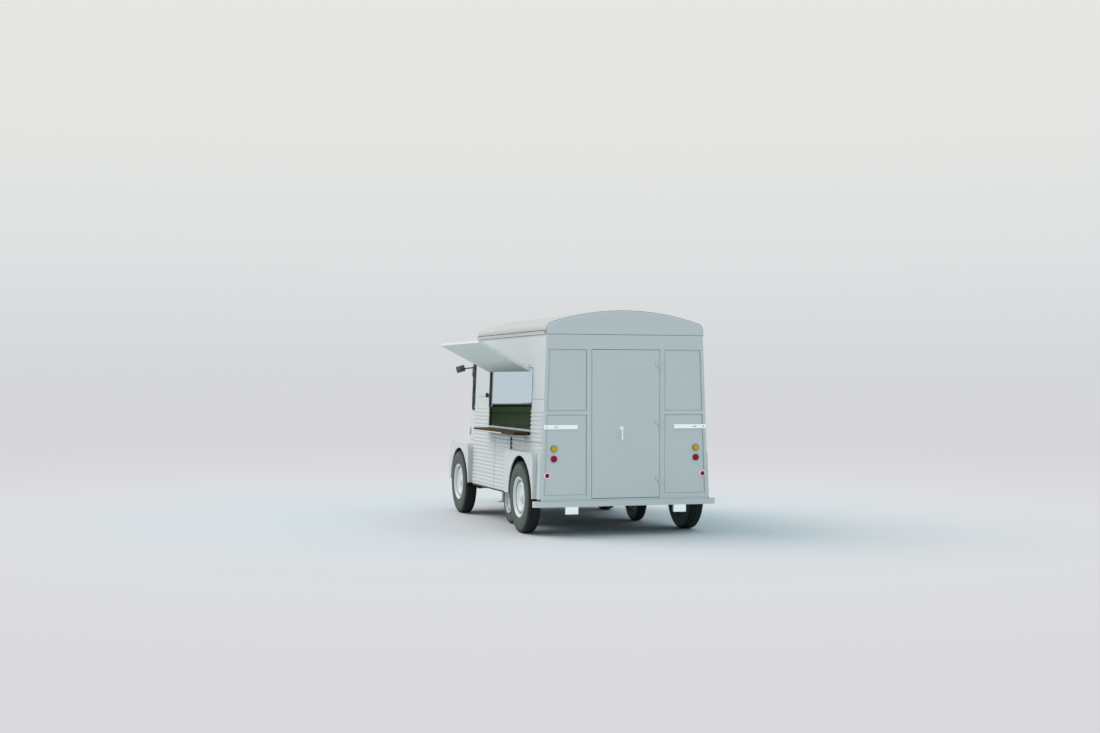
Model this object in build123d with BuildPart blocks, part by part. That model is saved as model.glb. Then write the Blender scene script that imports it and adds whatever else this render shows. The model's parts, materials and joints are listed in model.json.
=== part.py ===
from build123d import *
import math
import os

os.makedirs("parts", exist_ok=True)

# Sizes are in millimetres. While it is drawn, x is to the right as seen from
# behind, y is forward from the rear face and z is up from the ground.

# Box body. Heights of what it carries are given as a rise above its sill.
body_length = 2690
sill_z = 385
sill_half = 911
side_height = 1660
tumblehome = 62
shoulder_rise = 105
crown_rise = 141
shoulder_r = 70
wall = 30
edge_r = 16
gutter_depth = 12
gutter_height = 34

# Rear frame and its sunk panels
frame_relief = 8
door_post = 50
corner_post = 38
bottom_rail = 40
middle_rail_rise = 850
middle_rail = 38

# Ribs pressed into the side walls
rib_start = 40
rib_band = 880
rib_pitch = 42
rib_stand = 7
rib_base = 27
rib_crest = 13

# Serving side
opening_start = 420
opening_length = 1630
opening_rise = 670
opening_height = 650
hatch_thickness = 26
hatch_open_angle = 115.5
shelf_depth = 170
shelf_thickness = 33
shelf_drop = 5
shelf_r = 12
sill_strip = 15
sill_strip_lip = 10
bracket_shares = (0.12, 0.5, 0.88)
bracket_width = 40
bracket_plate = 6
bracket_height = 130
bracket_reach = 120

# Rear door
door_half = 365
door_head = 154

# Gaps and hinges
door_gap = 5
seat_gap = 0.3
barrel_r = 8
barrel_stand = 10
barrel_length = 45
leaf_length = 45
leaf_thickness = 11
leaf_sink = 3
rear_hinge_shares = (0.12, 0.5, 0.9)
hatch_hinge_shares = (0.08, 0.5, 0.92)
cab_hinge_shares = (0.1, 0.82)

# Floor and chassis
floor_thickness = 18
chassis_rail_width = 60
chassis_rail_height = 60
chassis_rail_x = 450
chassis_setback = 120
well_sheet = 10

# Cab, narrowing to the windscreen
cab_length = 730
cab_step = 8
cab_taper = 146
cab_front_lean = 53
cab_fall = 145
cab_front_rise = 65
cab_door_setback = 55
cab_door_width = 585
cab_door_rise = 485
cab_door_height = 970
cab_door_r = 55
cab_window_margin = 50
cab_window_rise = 355
glass = 6
glass_inset = 12
windscreen_margin = 87
windscreen_rise = 865
windscreen_height = 555
windscreen_r = 60

# Nose and grille
nose_half = 340
nose_length = 450
nose_rise = 780
nose_flat = 150
nose_drop = 115
nose_rake = 40
nose_chin = 160
nose_r = 50
panel = 12
grille_half = 250
grille_rise = 150
grille_height = 460
grille_r = 40
grille_rim = 20
grille_bars = 11
grille_bar_height = 20
grille_depth = 24

# Wings, fenders and headlamps
fender_stand = 44
fender_rise = 460
fender_r = 95
fender_back = 461
fender_ahead = 579
wing_back = 425
wing_reach = 220
wing_front_r = 210
arch_clear = 58
front_arch_clear = 30
headlamp_x = 560
headlamp_rise = 150
headlamp_r = 82
headlamp_foot_r = 30
headlamp_depth = 90
headlamp_ring = 18

# Bumpers
bumper_overhang = 74
bumper_height = 58
bumper_back = 25
bumper_depth = 85
bumper_r = 40
front_bumper_overhang = -31
front_bumper_rise = 35
front_bumper_depth = 50

# Wheels. A tyre has the distance of its centre line in from the sill's edge,
# its radius, its width and the rim's radius.
big_tyre = (19, 372, 150, 200)
small_tyre = (195, 255, 105, 130)
rear_axle_y = 591
centre_axle_y = 1620
front_axle_ahead = 460
arm_length = 345
rim_sheet = 7
bead_share = 0.72
arm_thickness = 40
arm_height = 50
arm_clearance = 12
pivot_r = 22
pivot_drop = 35
drum_share = 0.6
disc_face = 5
well_clear_side = 62
well_clear_end = 70
well_clear_top = 85

# Drawbar, coupling and jack
drawbar_length = 1760
drawbar_tip_half = 35
drawbar_throat = 240
jack_plate_setback = 500
jack_plate_width = 110
coupling_length = 190
coupling_overlap = 180
coupling_half = 35
coupling_height = 62
ball_r = 25
jack_r = 24
jack_top = 760
jack_foot_r = 70
jack_foot_height = 12
crank_length = 150
crank_r = 8

# Inside fittings
cabinet_setback = 60
cabinet_clear = 45
cabinet_rise = 880
cabinet_board = 20
worktop_thickness = 30
worktop_lip = 10

# Lamps on the rear panels. Each row gives how far in from the corner and how
# high above the sill the lamp sits, and its radius.
lamp_stand = 14
amber_rows = ((125, 507, 33),)
red_rows = ((129, 407, 33), (62, 240, 22))

# Bars, lamp boxes and handle at the rear
bar_length = 350
bar_inset = 12
bar_rise = 726
bar_height = 43
bar_stand = 10
bar_pad_margin = 32
lamp_box_x = 583
lamp_box_width = 132
lamp_box_height = 74
lamp_box_depth = 30
handle_x = -48
handle_rise = 711
handle_r = 20
handle_stand = 38
handle_lever = 125
handle_width = 18

# Mirrors on the cab doors
mirror_reach = 180
mirror_back = 102
mirror_rise = 1327
mirror_lift = 16
mirror_width = 130
mirror_height = 105
mirror_depth = 28
mirror_r = 20
mirror_arm_r = 8
mirror_arm_run = 50

# Values that follow from the sizes above
lean = tumblehome / side_height
lean_angle = math.degrees(math.atan(lean))
gutter_z = sill_z + side_height
shoulder_z = gutter_z + shoulder_rise
crown_z = shoulder_z + crown_rise
door_top = gutter_z - door_head
door_height = door_top - sill_z - door_gap
opening_end = opening_start + opening_length
opening_middle = opening_start + opening_length / 2
opening_low = sill_z + opening_rise
opening_high = opening_low + opening_height
floor_low = sill_z - floor_thickness
rail_low = floor_low - chassis_rail_height
bumper_low = floor_low - bumper_height
cab_front = body_length + cab_length
nose_front = cab_front + nose_length
cab_door_start = body_length + cab_door_setback
cab_door_end = cab_door_start + cab_door_width
cab_door_low = sill_z + cab_door_rise
cab_door_high = cab_door_low + cab_door_height
fender_face = sill_half + fender_stand
fender_top = sill_z + fender_rise
front_axle_y = body_length + front_axle_ahead
wing_start = front_axle_y - wing_back
wing_front = cab_front + wing_reach
tyre_r = big_tyre[1]
arch_r = tyre_r + arch_clear
well_in = sill_half - big_tyre[0] - big_tyre[2] / 2 - well_clear_side
pivot_z = floor_low - pivot_drop
chassis_end = cab_front - chassis_setback
drawbar_tip = chassis_end + drawbar_length
coupling_front = drawbar_tip + coupling_length
jack_y = drawbar_tip - jack_plate_setback

# One row for each wheel: name, side, distance of its centre line from the
# middle, y of its axle, tyre radius, tyre width, rim radius and y of its arm's pivot.
wheels = tuple(
    (f"{where}_{hand}", side, sill_half - size[0], y, *size[1:], y + reach)
    for where, y, size, reach in (
        ("rear", rear_axle_y, big_tyre, arm_length),
        ("centre", centre_axle_y, small_tyre, arm_length),
        ("front", front_axle_y, big_tyre, -arm_length),
    )
    for hand, side in (("left", -1), ("right", 1))
)

pieces = {}


def keep(name, part):
    """Puts a finished piece in the list under its node name."""
    part.label = name
    pieces[name] = part


def wall_x(z):
    """Half width of the box body's outer face at a height."""
    return sill_half - lean * (z - sill_z)


def wall_points(side, low, high, thickness):
    """Section of a leaning wall between two heights, ribbed outside."""
    outer = [(wall_x(low), low)]
    for i in range(round(rib_band / rib_pitch)):
        z = sill_z + rib_start + i * rib_pitch
        if low < z - rib_base / 2 and z + rib_base / 2 < high:
            for dz, stand in (
                (-rib_base / 2, 0),
                (-rib_crest / 2, rib_stand),
                (rib_crest / 2, rib_stand),
                (rib_base / 2, 0),
            ):
                outer.append((wall_x(z + dz) + stand, z + dz))
    outer.append((wall_x(high), high))
    inner = [(wall_x(high) - thickness, high), (wall_x(low) - thickness, low)]
    return [(side * x, z) for x, z in outer + inner]


def arch_section(foot_half, foot_z, half, corner_z, top_z, radius):
    """Face with a curved top on two round shoulders."""
    with BuildSketch(mode=Mode.PRIVATE) as section:
        with BuildLine():
            Line((-half, corner_z), (-foot_half, foot_z))
            Line((-foot_half, foot_z), (foot_half, foot_z))
            Line((foot_half, foot_z), (half, corner_z))
            ThreePointArc((half, corner_z), (0, top_z), (-half, corner_z))
        make_face()
        fillet(section.vertices().filter_by(lambda v: v.Y > foot_z + 1), radius)
    return section.sketch


def body_section(inset, foot_z):
    """Section of the box body, drawn in from the outside."""
    return arch_section(
        wall_x(foot_z) - inset,
        foot_z,
        wall_x(shoulder_z - inset) - inset,
        shoulder_z - inset,
        crown_z - inset,
        shoulder_r - inset,
    )


# Sill half width, shoulder half width, shoulder height and crown height at
# the cab's rear, where it stands a step inside the box body, and at its front
cab_rear_sizes = (
    sill_half - cab_step,
    wall_x(shoulder_z) - cab_step,
    shoulder_z - cab_step,
    crown_z - cab_step,
)
cab_front_sizes = (
    sill_half - cab_taper,
    sill_half - cab_taper - cab_front_lean,
    gutter_z - cab_fall,
    gutter_z - cab_fall + cab_front_rise,
)


def cab_at(y):
    """The cab's four section sizes at y."""
    share = (y - body_length) / cab_length
    return [a + (b - a) * share for a, b in zip(cab_rear_sizes, cab_front_sizes)]


def cab_half(y, z):
    """Half width of the cab's outer face at y and z."""
    foot, half, corner_z, _ = cab_at(y)
    return foot + (half - foot) * (z - sill_z) / (corner_z - sill_z)


def cab_solid(inset, front_inset=0, drop=0):
    """The cab's volume, drawn in from the outside and open below by drop."""
    with BuildPart(mode=Mode.PRIVATE) as solid:
        for y in (body_length, cab_front - front_inset):
            corner_z, top_z = cab_at(y)[2:]
            with BuildSketch(Plane.XZ.offset(-y)):
                add(
                    arch_section(
                        cab_half(y, sill_z - drop) - inset,
                        sill_z - drop,
                        cab_half(y, corner_z - inset) - inset,
                        corner_z - inset,
                        top_z - inset,
                        shoulder_r - inset,
                    )
                )
        loft(ruled=True)
    return solid.part


def knuckle(pin, low, toward):
    """One barrel on a hinge pin, with the leaf that ties it to its carrier.

    The pin plane's normal lies along the pin, its x runs along the carrier's
    face and its y points into the carrier. low is where the barrel starts.
    """
    backwards = min(pin.z_dir.to_tuple()) < -0.9
    start = -(low + barrel_length) if backwards else low
    leaf_far = barrel_stand + leaf_sink
    with BuildSketch(pin.offset(start)) as section:
        Circle(barrel_r)
        with Locations((toward * leaf_length / 2, leaf_far - leaf_thickness / 2)):
            Rectangle(leaf_length, leaf_thickness)
    extrude(section.sketch, amount=barrel_length)


# Pins of the hatch and of the rear door
hatch_pin_z = opening_high - door_gap / 2
hatch_pin_x = -(wall_x(hatch_pin_z) + barrel_stand)
hatch_pin = Plane(
    origin=(hatch_pin_x, 0, hatch_pin_z),
    x_dir=(-math.sin(math.radians(lean_angle)), 0, -math.cos(math.radians(lean_angle))),
    z_dir=(0, -1, 0),
)
hatch_hinges = [opening_start + opening_length * share for share in hatch_hinge_shares]
rear_pin = Plane(origin=(door_half + door_gap / 2, -barrel_stand, 0), x_dir=(1, 0, 0))
rear_hinges = [sill_z + door_height * share for share in rear_hinge_shares]

# Side walls, with the wheel arches and the serving opening cut
for hand, side in (("left", -1), ("right", 1)):
    with BuildPart() as side_wall:
        with BuildSketch(Plane.XZ.offset(-wall)):
            with BuildLine():
                Polyline(*wall_points(side, sill_z, gutter_z, wall), close=True)
            make_face()
        extrude(amount=wall - body_length)
        with BuildSketch(Plane.YZ):
            with Locations((rear_axle_y, tyre_r)):
                Circle(arch_r)
            if side < 0:
                with Locations((opening_middle, (opening_low + opening_high) / 2)):
                    Rectangle(opening_length, opening_height)
        extrude(amount=side * 2 * sill_half, mode=Mode.SUBTRACT)
        if side < 0:
            for y in hatch_hinges:
                knuckle(hatch_pin, y, -1)
    keep(f"side_{hand}", side_wall.part)

# Roof, with a gutter along each side
with BuildPart() as roof:
    with BuildSketch(Plane.XZ.offset(-wall)):
        add(body_section(0, gutter_z))
    extrude(amount=wall - body_length)
    front_edges = roof.faces().sort_by(Axis.Y)[-1].edges()
    fillet(front_edges.filter_by(lambda e: e.center().Z > gutter_z + 1), edge_r)
    with BuildSketch(Plane.XZ.offset(-wall)):
        add(body_section(wall, gutter_z - 1))
    extrude(amount=wall - body_length, mode=Mode.SUBTRACT)
    gutter_mid = gutter_z + gutter_height / 2
    gutter_x = wall_x(gutter_z + gutter_height) + gutter_depth / 2
    with BuildSketch(Plane.XZ.offset(-wall)):
        with Locations((-gutter_x, gutter_mid), (gutter_x, gutter_mid)):
            Rectangle(gutter_depth, gutter_height)
    extrude(amount=wall + edge_r - body_length)
keep("roof", roof.part)

# Rear frame: posts and rails stand proud of four sunk panels
with BuildPart() as rear_frame:
    with BuildSketch(Plane.XZ):
        add(body_section(0, sill_z))
    extrude(amount=-wall)
    rear_edges = rear_frame.faces().sort_by(Axis.Y)[0].edges()
    fillet(rear_edges.filter_by(lambda e: e.center().Z > sill_z + 1), edge_r)
    with BuildSketch(Plane.XZ):
        with Locations((0, (sill_z + door_top + door_gap) / 2)):
            Rectangle(2 * (door_half + door_gap), door_top + door_gap - sill_z)
    extrude(amount=-wall, mode=Mode.SUBTRACT)
    near = door_half + door_gap + door_post
    middle_rail_z = sill_z + middle_rail_rise
    for low, high in (
        (sill_z + bottom_rail, middle_rail_z),
        (middle_rail_z + middle_rail, door_top + door_gap),
    ):
        with BuildSketch(Plane.XZ):
            for side in (-1, 1):
                Polygon(
                    (side * near, low),
                    (side * (wall_x(low) - corner_post), low),
                    (side * (wall_x(high) - corner_post), high),
                    (side * near, high),
                    align=None,
                )
        extrude(amount=-frame_relief, mode=Mode.SUBTRACT)
    for z in rear_hinges:
        knuckle(rear_pin, z - barrel_length - seat_gap, 1)
keep("rear_frame", rear_frame.part)

# Rear door with its lever handle
with BuildPart() as rear_door:
    with BuildSketch(Plane.XZ):
        with Locations((0, door_top - door_height / 2)):
            Rectangle(2 * door_half, door_height)
    extrude(amount=-wall)
    for z in rear_hinges:
        knuckle(rear_pin, z, -1)
keep("rear_door", rear_door.part)

handle_z = sill_z + handle_rise
with BuildPart() as door_handle:
    with BuildSketch(Plane.XZ):
        with Locations((handle_x, handle_z)):
            Circle(handle_r)
    extrude(amount=handle_stand)
    with BuildSketch(Plane.XZ.offset(handle_stand - handle_width)):
        with Locations((handle_x, handle_z - handle_lever / 2)):
            SlotOverall(handle_lever, handle_width, rotation=90)
    extrude(amount=handle_width)
keep("door_handle", door_handle.part)

# Serving hatch, drawn closed and then swung open on its pin
hatch_low = opening_low + sill_strip + door_gap
hatch_high = opening_high - door_gap
with BuildPart() as hatch:
    with BuildSketch(Plane.XZ.offset(-opening_start - door_gap)):
        with BuildLine():
            Polyline(*wall_points(-1, hatch_low, hatch_high, hatch_thickness), close=True)
        make_face()
    extrude(amount=2 * door_gap - opening_length)
    for y in hatch_hinges:
        knuckle(hatch_pin, y - barrel_length - seat_gap, 1)
hatch_axis = Axis((hatch_pin_x, 0, hatch_pin_z), (0, 1, 0))
keep("hatch", hatch.part.rotate(hatch_axis, hatch_open_angle))

# Sill strip, shelf and brackets under the serving opening
with BuildPart() as serving_sill:
    strip_out = wall_x(opening_low) + rib_stand + sill_strip_lip
    strip_in = wall_x(opening_low) - wall - sill_strip_lip
    with BuildSketch(Plane.XZ.offset(-opening_start)):
        with Locations((-(strip_out + strip_in) / 2, opening_low + sill_strip / 2)):
            Rectangle(strip_out - strip_in, sill_strip)
    extrude(amount=-opening_length)
keep("serving_sill", serving_sill.part)

shelf_top = opening_low - shelf_drop
shelf_low = shelf_top - shelf_thickness
shelf_in = wall_x(shelf_low) + rib_stand + seat_gap
with BuildPart() as serving_shelf:
    with BuildSketch(Plane.XY.offset(shelf_low)):
        with Locations((-shelf_in - shelf_depth / 2, opening_middle)):
            Rectangle(shelf_depth, opening_length)
    extrude(amount=shelf_thickness)
    fillet(serving_shelf.edges().filter_by(Axis.Z).sort_by(Axis.X)[:2], shelf_r)
keep("serving_shelf", serving_shelf.part)

with BuildPart() as shelf_brackets:
    foot = shelf_low - bracket_height
    back = rib_stand + seat_gap
    for share in bracket_shares:
        middle = opening_start + opening_length * share
        with BuildSketch(Plane.XZ.offset(bracket_width / 2 - middle)):
            Polygon(
                (-wall_x(foot) - back, foot),
                (-wall_x(shelf_low) - back, shelf_low),
                (-wall_x(shelf_low) - bracket_reach, shelf_low),
                (-wall_x(shelf_low) - bracket_reach, shelf_low - bracket_plate),
                (-wall_x(foot) - back - bracket_plate, foot),
                align=None,
            )
        extrude(amount=-bracket_width)
keep("shelf_brackets", shelf_brackets.part)

# Cab shell, split into the fixed frame and two doors
with BuildPart() as cab_shell:
    add(cab_solid(0))
    add(cab_solid(wall, front_inset=wall, drop=wall), mode=Mode.SUBTRACT)
cab_outer = cab_solid(0)


def side_opening(low, high, margin, radius):
    """Side view of an opening as wide as the cab door, less a margin."""
    with BuildSketch(Plane.YZ, mode=Mode.PRIVATE) as region:
        with Locations(((cab_door_start + cab_door_end) / 2, (low + high) / 2)):
            RectangleRounded(cab_door_width - 2 * margin, high - low, radius)
    return region.sketch


def door_region(gap):
    """Side view of the cab door, drawn in by a gap."""
    return side_opening(cab_door_low + gap, cab_door_high - gap, gap, cab_door_r - gap)


def window_region(gap):
    """Side view of the cab door's window, drawn in by a gap."""
    low = cab_door_low + cab_window_rise + gap
    high = cab_door_high - cab_window_margin - gap
    return side_opening(low, high, cab_window_margin + gap, cab_window_margin - gap)


# The cab doors' pins lean with the door's front edge.
cab_pin_y = cab_door_end - door_gap / 2
cab_pin_lean = cab_half(cab_pin_y, 0) - cab_half(cab_pin_y, 1)
cab_pin_taper = cab_half(cab_pin_y, cab_door_low) - cab_half(cab_pin_y - 1, cab_door_low)
cab_hinges = [cab_door_low + cab_door_height * share for share in cab_hinge_shares]


def cab_pin(side):
    """Plane on the pin of a cab door, at the front edge of its opening."""
    forward = Vector(side * cab_pin_taper, 1, 0).normalized()
    up = Vector(-side * cab_pin_lean, 0, 1).normalized() * side
    inward = up.cross(forward).normalized()
    place = Vector(side * cab_half(cab_pin_y, 0), cab_pin_y, 0) - inward * barrel_stand
    return Plane(origin=place.to_tuple(), x_dir=forward.to_tuple(), z_dir=up.to_tuple())


with BuildPart() as cab_frame:
    add(cab_shell.part)
    windscreen_half = cab_front_sizes[1] - windscreen_margin
    windscreen_middle = sill_z + windscreen_rise + windscreen_height / 2
    with BuildSketch(Plane.XZ.offset(-cab_front)):
        with Locations((0, windscreen_middle)):
            RectangleRounded(2 * windscreen_half, windscreen_height, windscreen_r)
    extrude(amount=wall, mode=Mode.SUBTRACT)
    extrude(door_region(0), amount=2 * sill_half, both=True, mode=Mode.SUBTRACT)
    for side in (-1, 1):
        with BuildSketch(Plane.YZ.offset(side * well_in)):
            with Locations((front_axle_y, tyre_r)):
                Circle(arch_r)
        extrude(amount=side * sill_half, mode=Mode.SUBTRACT)
        for z in cab_hinges:
            knuckle(cab_pin(side), z - barrel_length - seat_gap, 1)
keep("cab_frame", cab_frame.part)

for hand, side in (("left", -1), ("right", 1)):
    with BuildPart() as cab_door:
        add(cab_shell.part)
        extrude(door_region(door_gap), amount=side * 2 * sill_half, mode=Mode.INTERSECT)
        extrude(window_region(0), amount=side * 2 * sill_half, mode=Mode.SUBTRACT)
        for z in cab_hinges:
            knuckle(cab_pin(side), z, -1)
    keep(f"cab_door_{hand}", cab_door.part)
    with BuildPart() as door_glass:
        add(cab_solid(glass_inset))
        add(cab_solid(glass_inset + glass), mode=Mode.SUBTRACT)
        extrude(window_region(seat_gap), amount=side * 2 * sill_half, mode=Mode.INTERSECT)
    keep(f"door_glass_{hand}", door_glass.part)

with BuildPart() as windscreen:
    with BuildSketch(Plane.XZ.offset(wall - glass_inset - cab_front)):
        with Locations((0, windscreen_middle)):
            RectangleRounded(
                2 * (windscreen_half - seat_gap),
                windscreen_height - 2 * seat_gap,
                windscreen_r - seat_gap,
            )
    extrude(amount=-glass)
keep("windscreen", windscreen.part)

# Mirrors, each on an arm from the front upright of its door
root_y = cab_door_end - door_gap - cab_window_margin / 2
root_z = sill_z + mirror_rise + mirror_lift
root_x = cab_half(root_y - mirror_arm_r, root_z - mirror_arm_r) + seat_gap
head_x = root_x + mirror_reach
for hand, side in (("left", -1), ("right", 1)):
    with BuildPart() as mirror:
        with BuildSketch(Plane.XZ.offset(mirror_back - root_y)):
            with Locations((side * head_x, root_z - mirror_lift)):
                RectangleRounded(mirror_width, mirror_height, mirror_r)
        extrude(amount=-mirror_depth)
        with BuildLine():
            FilletPolyline(
                (side * root_x, root_y, root_z),
                (side * (root_x + mirror_arm_run), root_y, root_z),
                (side * head_x, root_y - mirror_back + mirror_depth / 2, root_z - mirror_lift),
                radius=mirror_r,
            )
        with BuildSketch(Plane(origin=(side * root_x, root_y, root_z), z_dir=(side, 0, 0))):
            Circle(mirror_arm_r)
        sweep()
    keep(f"mirror_{hand}", mirror.part)


def nose_solid(step):
    """The nose's volume, drawn in by a step and lower by it."""
    top = sill_z + nose_rise - step
    with BuildPart(mode=Mode.PRIVATE) as solid:
        with BuildSketch(Plane.YZ.offset(step - nose_half)) as outline:
            Polygon(
                (cab_front, sill_z - step),
                (cab_front, top),
                (cab_front + nose_flat - step / 2, top),
                (nose_front - nose_rake - step, top - nose_drop),
                (nose_front - step, sill_z + nose_chin),
                (nose_front - step, sill_z - step),
                align=None,
            )
            fillet(outline.vertices().sort_by(Axis.Y)[-3:-2], nose_r - step)
        extrude(amount=2 * (nose_half - step))
        rim = solid.edges().filter_by(
            lambda e: abs(e.center().X) > nose_half - step - 1
            and e.center().Y > cab_front + 1
            and e.center().Z > sill_z - step + 1
        )
        fillet(rim, nose_r - step)
    return solid.part


# Nose: a rounded hood, open to the grille in front and below
grille_z = sill_z + grille_rise + grille_height / 2
with BuildPart() as nose:
    add(nose_solid(0))
    add(nose_solid(panel), mode=Mode.SUBTRACT)
    with BuildSketch(Plane.XZ.offset(-nose_front)):
        with Locations((0, grille_z)):
            RectangleRounded(2 * grille_half, grille_height, grille_r)
    extrude(amount=nose_rake + 4 * panel, mode=Mode.SUBTRACT)
keep("nose", nose.part)

# Grille: bars across a rim that fills the nose's opening
with BuildPart() as grille:
    inner_height = grille_height - 2 * grille_rim
    with BuildSketch(Plane.XZ.offset(nose_rake - nose_front)):
        with Locations((0, grille_z)):
            RectangleRounded(
                2 * (grille_half - seat_gap),
                grille_height - 2 * seat_gap,
                grille_r - seat_gap,
            )
            RectangleRounded(
                2 * (grille_half - grille_rim),
                inner_height,
                grille_rim,
                mode=Mode.SUBTRACT,
            )
            with GridLocations(0, inner_height / (grille_bars + 1), 1, grille_bars):
                Rectangle(2 * grille_half - grille_rim, grille_bar_height)
    extrude(amount=grille_depth)
keep("grille", grille.part)

# Front wings, from the flank of the nose round the front wheels
with BuildPart() as front_wings:
    for side in (-1, 1):
        for step, mode in ((0, Mode.ADD), (panel, Mode.SUBTRACT)):
            near = nose_half + seat_gap + step
            with BuildSketch(Plane.YZ.offset(side * near)) as outline:
                with Locations(((wing_start + wing_front) / 2, sill_z + fender_rise / 2 - step)):
                    Rectangle(wing_front - wing_start - 2 * step, fender_rise)
                fillet(outline.vertices().group_by(Axis.Y)[-1].sort_by(Axis.X)[-1:], wing_front_r - step)
                fillet(outline.vertices().group_by(Axis.Y)[-1].sort_by(Axis.X)[:1], fender_r - step)
            extrude(amount=side * (fender_face - step - near), mode=mode)
        with BuildSketch(Plane.YZ.offset(side * (fender_face - 2 * panel))):
            with Locations((front_axle_y, tyre_r)):
                Circle(tyre_r + front_arch_clear)
        extrude(amount=side * 4 * panel, mode=Mode.SUBTRACT)
    add(cab_outer, mode=Mode.SUBTRACT)
keep("front_wings", front_wings.part)

# Rear fenders, hollow pressings set on the side walls
with BuildPart() as rear_fenders:
    near = (sill_half - wall + wall_x(fender_top)) / 2
    middle = rear_axle_y + (fender_ahead - fender_back) / 2
    for side, wall_part in ((-1, pieces["side_left"]), (1, pieces["side_right"])):
        for step, mode in ((0, Mode.ADD), (panel, Mode.SUBTRACT)):
            with BuildSketch(Plane.YZ.offset(side * near)) as outline:
                with Locations((middle, sill_z + fender_rise / 2 - step)):
                    Rectangle(fender_back + fender_ahead - 2 * step, fender_rise)
                fillet(outline.vertices().group_by(Axis.Y)[-1], fender_r - step)
            extrude(amount=side * (fender_face - near - step), mode=mode)
        with BuildSketch(Plane.YZ.offset(side * near)):
            with Locations((rear_axle_y, tyre_r)):
                Circle(arch_r)
        extrude(amount=side * (fender_face - near), mode=Mode.SUBTRACT)
        add(wall_part, mode=Mode.SUBTRACT)
keep("rear_fenders", rear_fenders.part)

# Headlamps: bowls on short feet at the fronts of the wings. The section is
# drawn with x forward and y away from the lamp's middle.
lamp_back = headlamp_depth - headlamp_ring
with BuildPart() as headlamps:
    for side in (-1, 1):
        place = (side * headlamp_x, wing_front + seat_gap, sill_z + headlamp_rise)
        with BuildSketch(Plane(origin=place, x_dir=(0, 1, 0), z_dir=(1, 0, 0))):
            Polygon(
                (0, 0),
                (0, headlamp_foot_r),
                (headlamp_ring, headlamp_foot_r),
                (2 * headlamp_ring, headlamp_r * 0.75),
                (lamp_back, headlamp_r * 0.95),
                (lamp_back, headlamp_r),
                (headlamp_depth, headlamp_r),
                (headlamp_depth, headlamp_r * 0.88),
                (headlamp_depth * 1.07, 0),
                align=None,
            )
        revolve(axis=Axis(place, (0, 1, 0)))
keep("headlamps", headlamps.part)

# Floor with the boxes over the wheels. Each row gives a box's inner side, its
# two ends, its outer side at each end and its top, then the outer side and
# front end of the hollow under it.
small_in = sill_half - small_tyre[0] - small_tyre[2] / 2 - well_clear_side
small_out = small_in + small_tyre[2] + 1.5 * well_clear_side
big_well_top = 2 * tyre_r + well_clear_top
small_well_top = 2 * small_tyre[1] + well_clear_top / 2
rear_edge = wall_x(big_well_top) - wall - seat_gap
rear_start = rear_axle_y - tyre_r - well_clear_end
rear_end = rear_axle_y + tyre_r + well_clear_end
small_start = centre_axle_y - small_tyre[1] - well_clear_end / 2
small_end = centre_axle_y + small_tyre[1] + well_clear_end / 2
front_start = front_axle_y - tyre_r - well_clear_end


def cab_edge(y):
    """Inner face of the cab's side at the top of the front wheel boxes."""
    return cab_half(y, big_well_top) - wall - 2 * seat_gap


# The front boxes end in a slant where the cab's side closes on them.
front_far = cab_edge(front_start)
front_near = well_in + well_sheet
narrowing = (front_far - cab_edge(cab_front)) / (cab_front - front_start)
front_end = front_start + (front_far - front_near) / narrowing
outside = 2 * sill_half
wells = (
    (well_in, rear_start, rear_end, rear_edge, rear_edge, big_well_top, outside, rear_end - well_sheet),
    (well_in, front_start, front_end, front_far, front_near, big_well_top, outside, cab_front + 1),
    (
        small_in, small_start, small_end, small_out, small_out, small_well_top,
        small_out - well_sheet, small_end - well_sheet,
    ),
)
with BuildPart() as floor:
    with BuildSketch(Plane.XY.offset(floor_low)):
        Polygon(
            (-sill_half, 0),
            (sill_half, 0),
            (sill_half, body_length),
            (cab_front_sizes[0], cab_front),
            (-cab_front_sizes[0], cab_front),
            (-sill_half, body_length),
            align=None,
        )
    extrude(amount=floor_thickness)
    for near, start, end, far_start, far_end, top, _, _ in wells:
        with BuildSketch(Plane.XY.offset(sill_z)):
            for side in (-1, 1):
                Polygon(
                    (side * near, start),
                    (side * far_start, start),
                    (side * far_end, end),
                    (side * near, end),
                    align=None,
                )
        extrude(amount=top - sill_z)
    for near, start, _, _, _, top, hollow_far, hollow_end in wells:
        middle_x = (near + well_sheet + hollow_far) / 2
        middle_y = (start + well_sheet + hollow_end) / 2
        with BuildSketch(Plane.XY.offset(floor_low)):
            with Locations((-middle_x, middle_y), (middle_x, middle_y)):
                Rectangle(hollow_far - near - well_sheet, hollow_end - start - well_sheet)
        extrude(amount=top - well_sheet - floor_low, mode=Mode.SUBTRACT)
keep("floor", floor.part)

# Chassis frame, with holes for the arms' pivot tubes
pivots = sorted({row[-1] for row in wheels})
chassis_start = bumper_depth - bumper_back
cross_members = (
    chassis_start + chassis_rail_width / 2,
    (pivots[0] + centre_axle_y) / 2,
    (pivots[1] + pivots[2]) / 2,
    chassis_end - chassis_rail_width / 2,
)
with BuildPart() as chassis_frame:
    with BuildSketch(Plane.XY.offset(rail_low)):
        middle = (chassis_start + chassis_end) / 2
        with Locations((-chassis_rail_x, middle), (chassis_rail_x, middle)):
            Rectangle(chassis_rail_width, chassis_end - chassis_start)
        with Locations(*[(0, y) for y in cross_members]):
            Rectangle(2 * chassis_rail_x, chassis_rail_width)
    extrude(amount=chassis_rail_height)
    with BuildSketch(Plane.YZ):
        with Locations(*[(y, pivot_z) for y in pivots]):
            Circle(pivot_r + seat_gap)
    extrude(amount=sill_half, both=True, mode=Mode.SUBTRACT)
keep("chassis_frame", chassis_frame.part)

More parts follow.
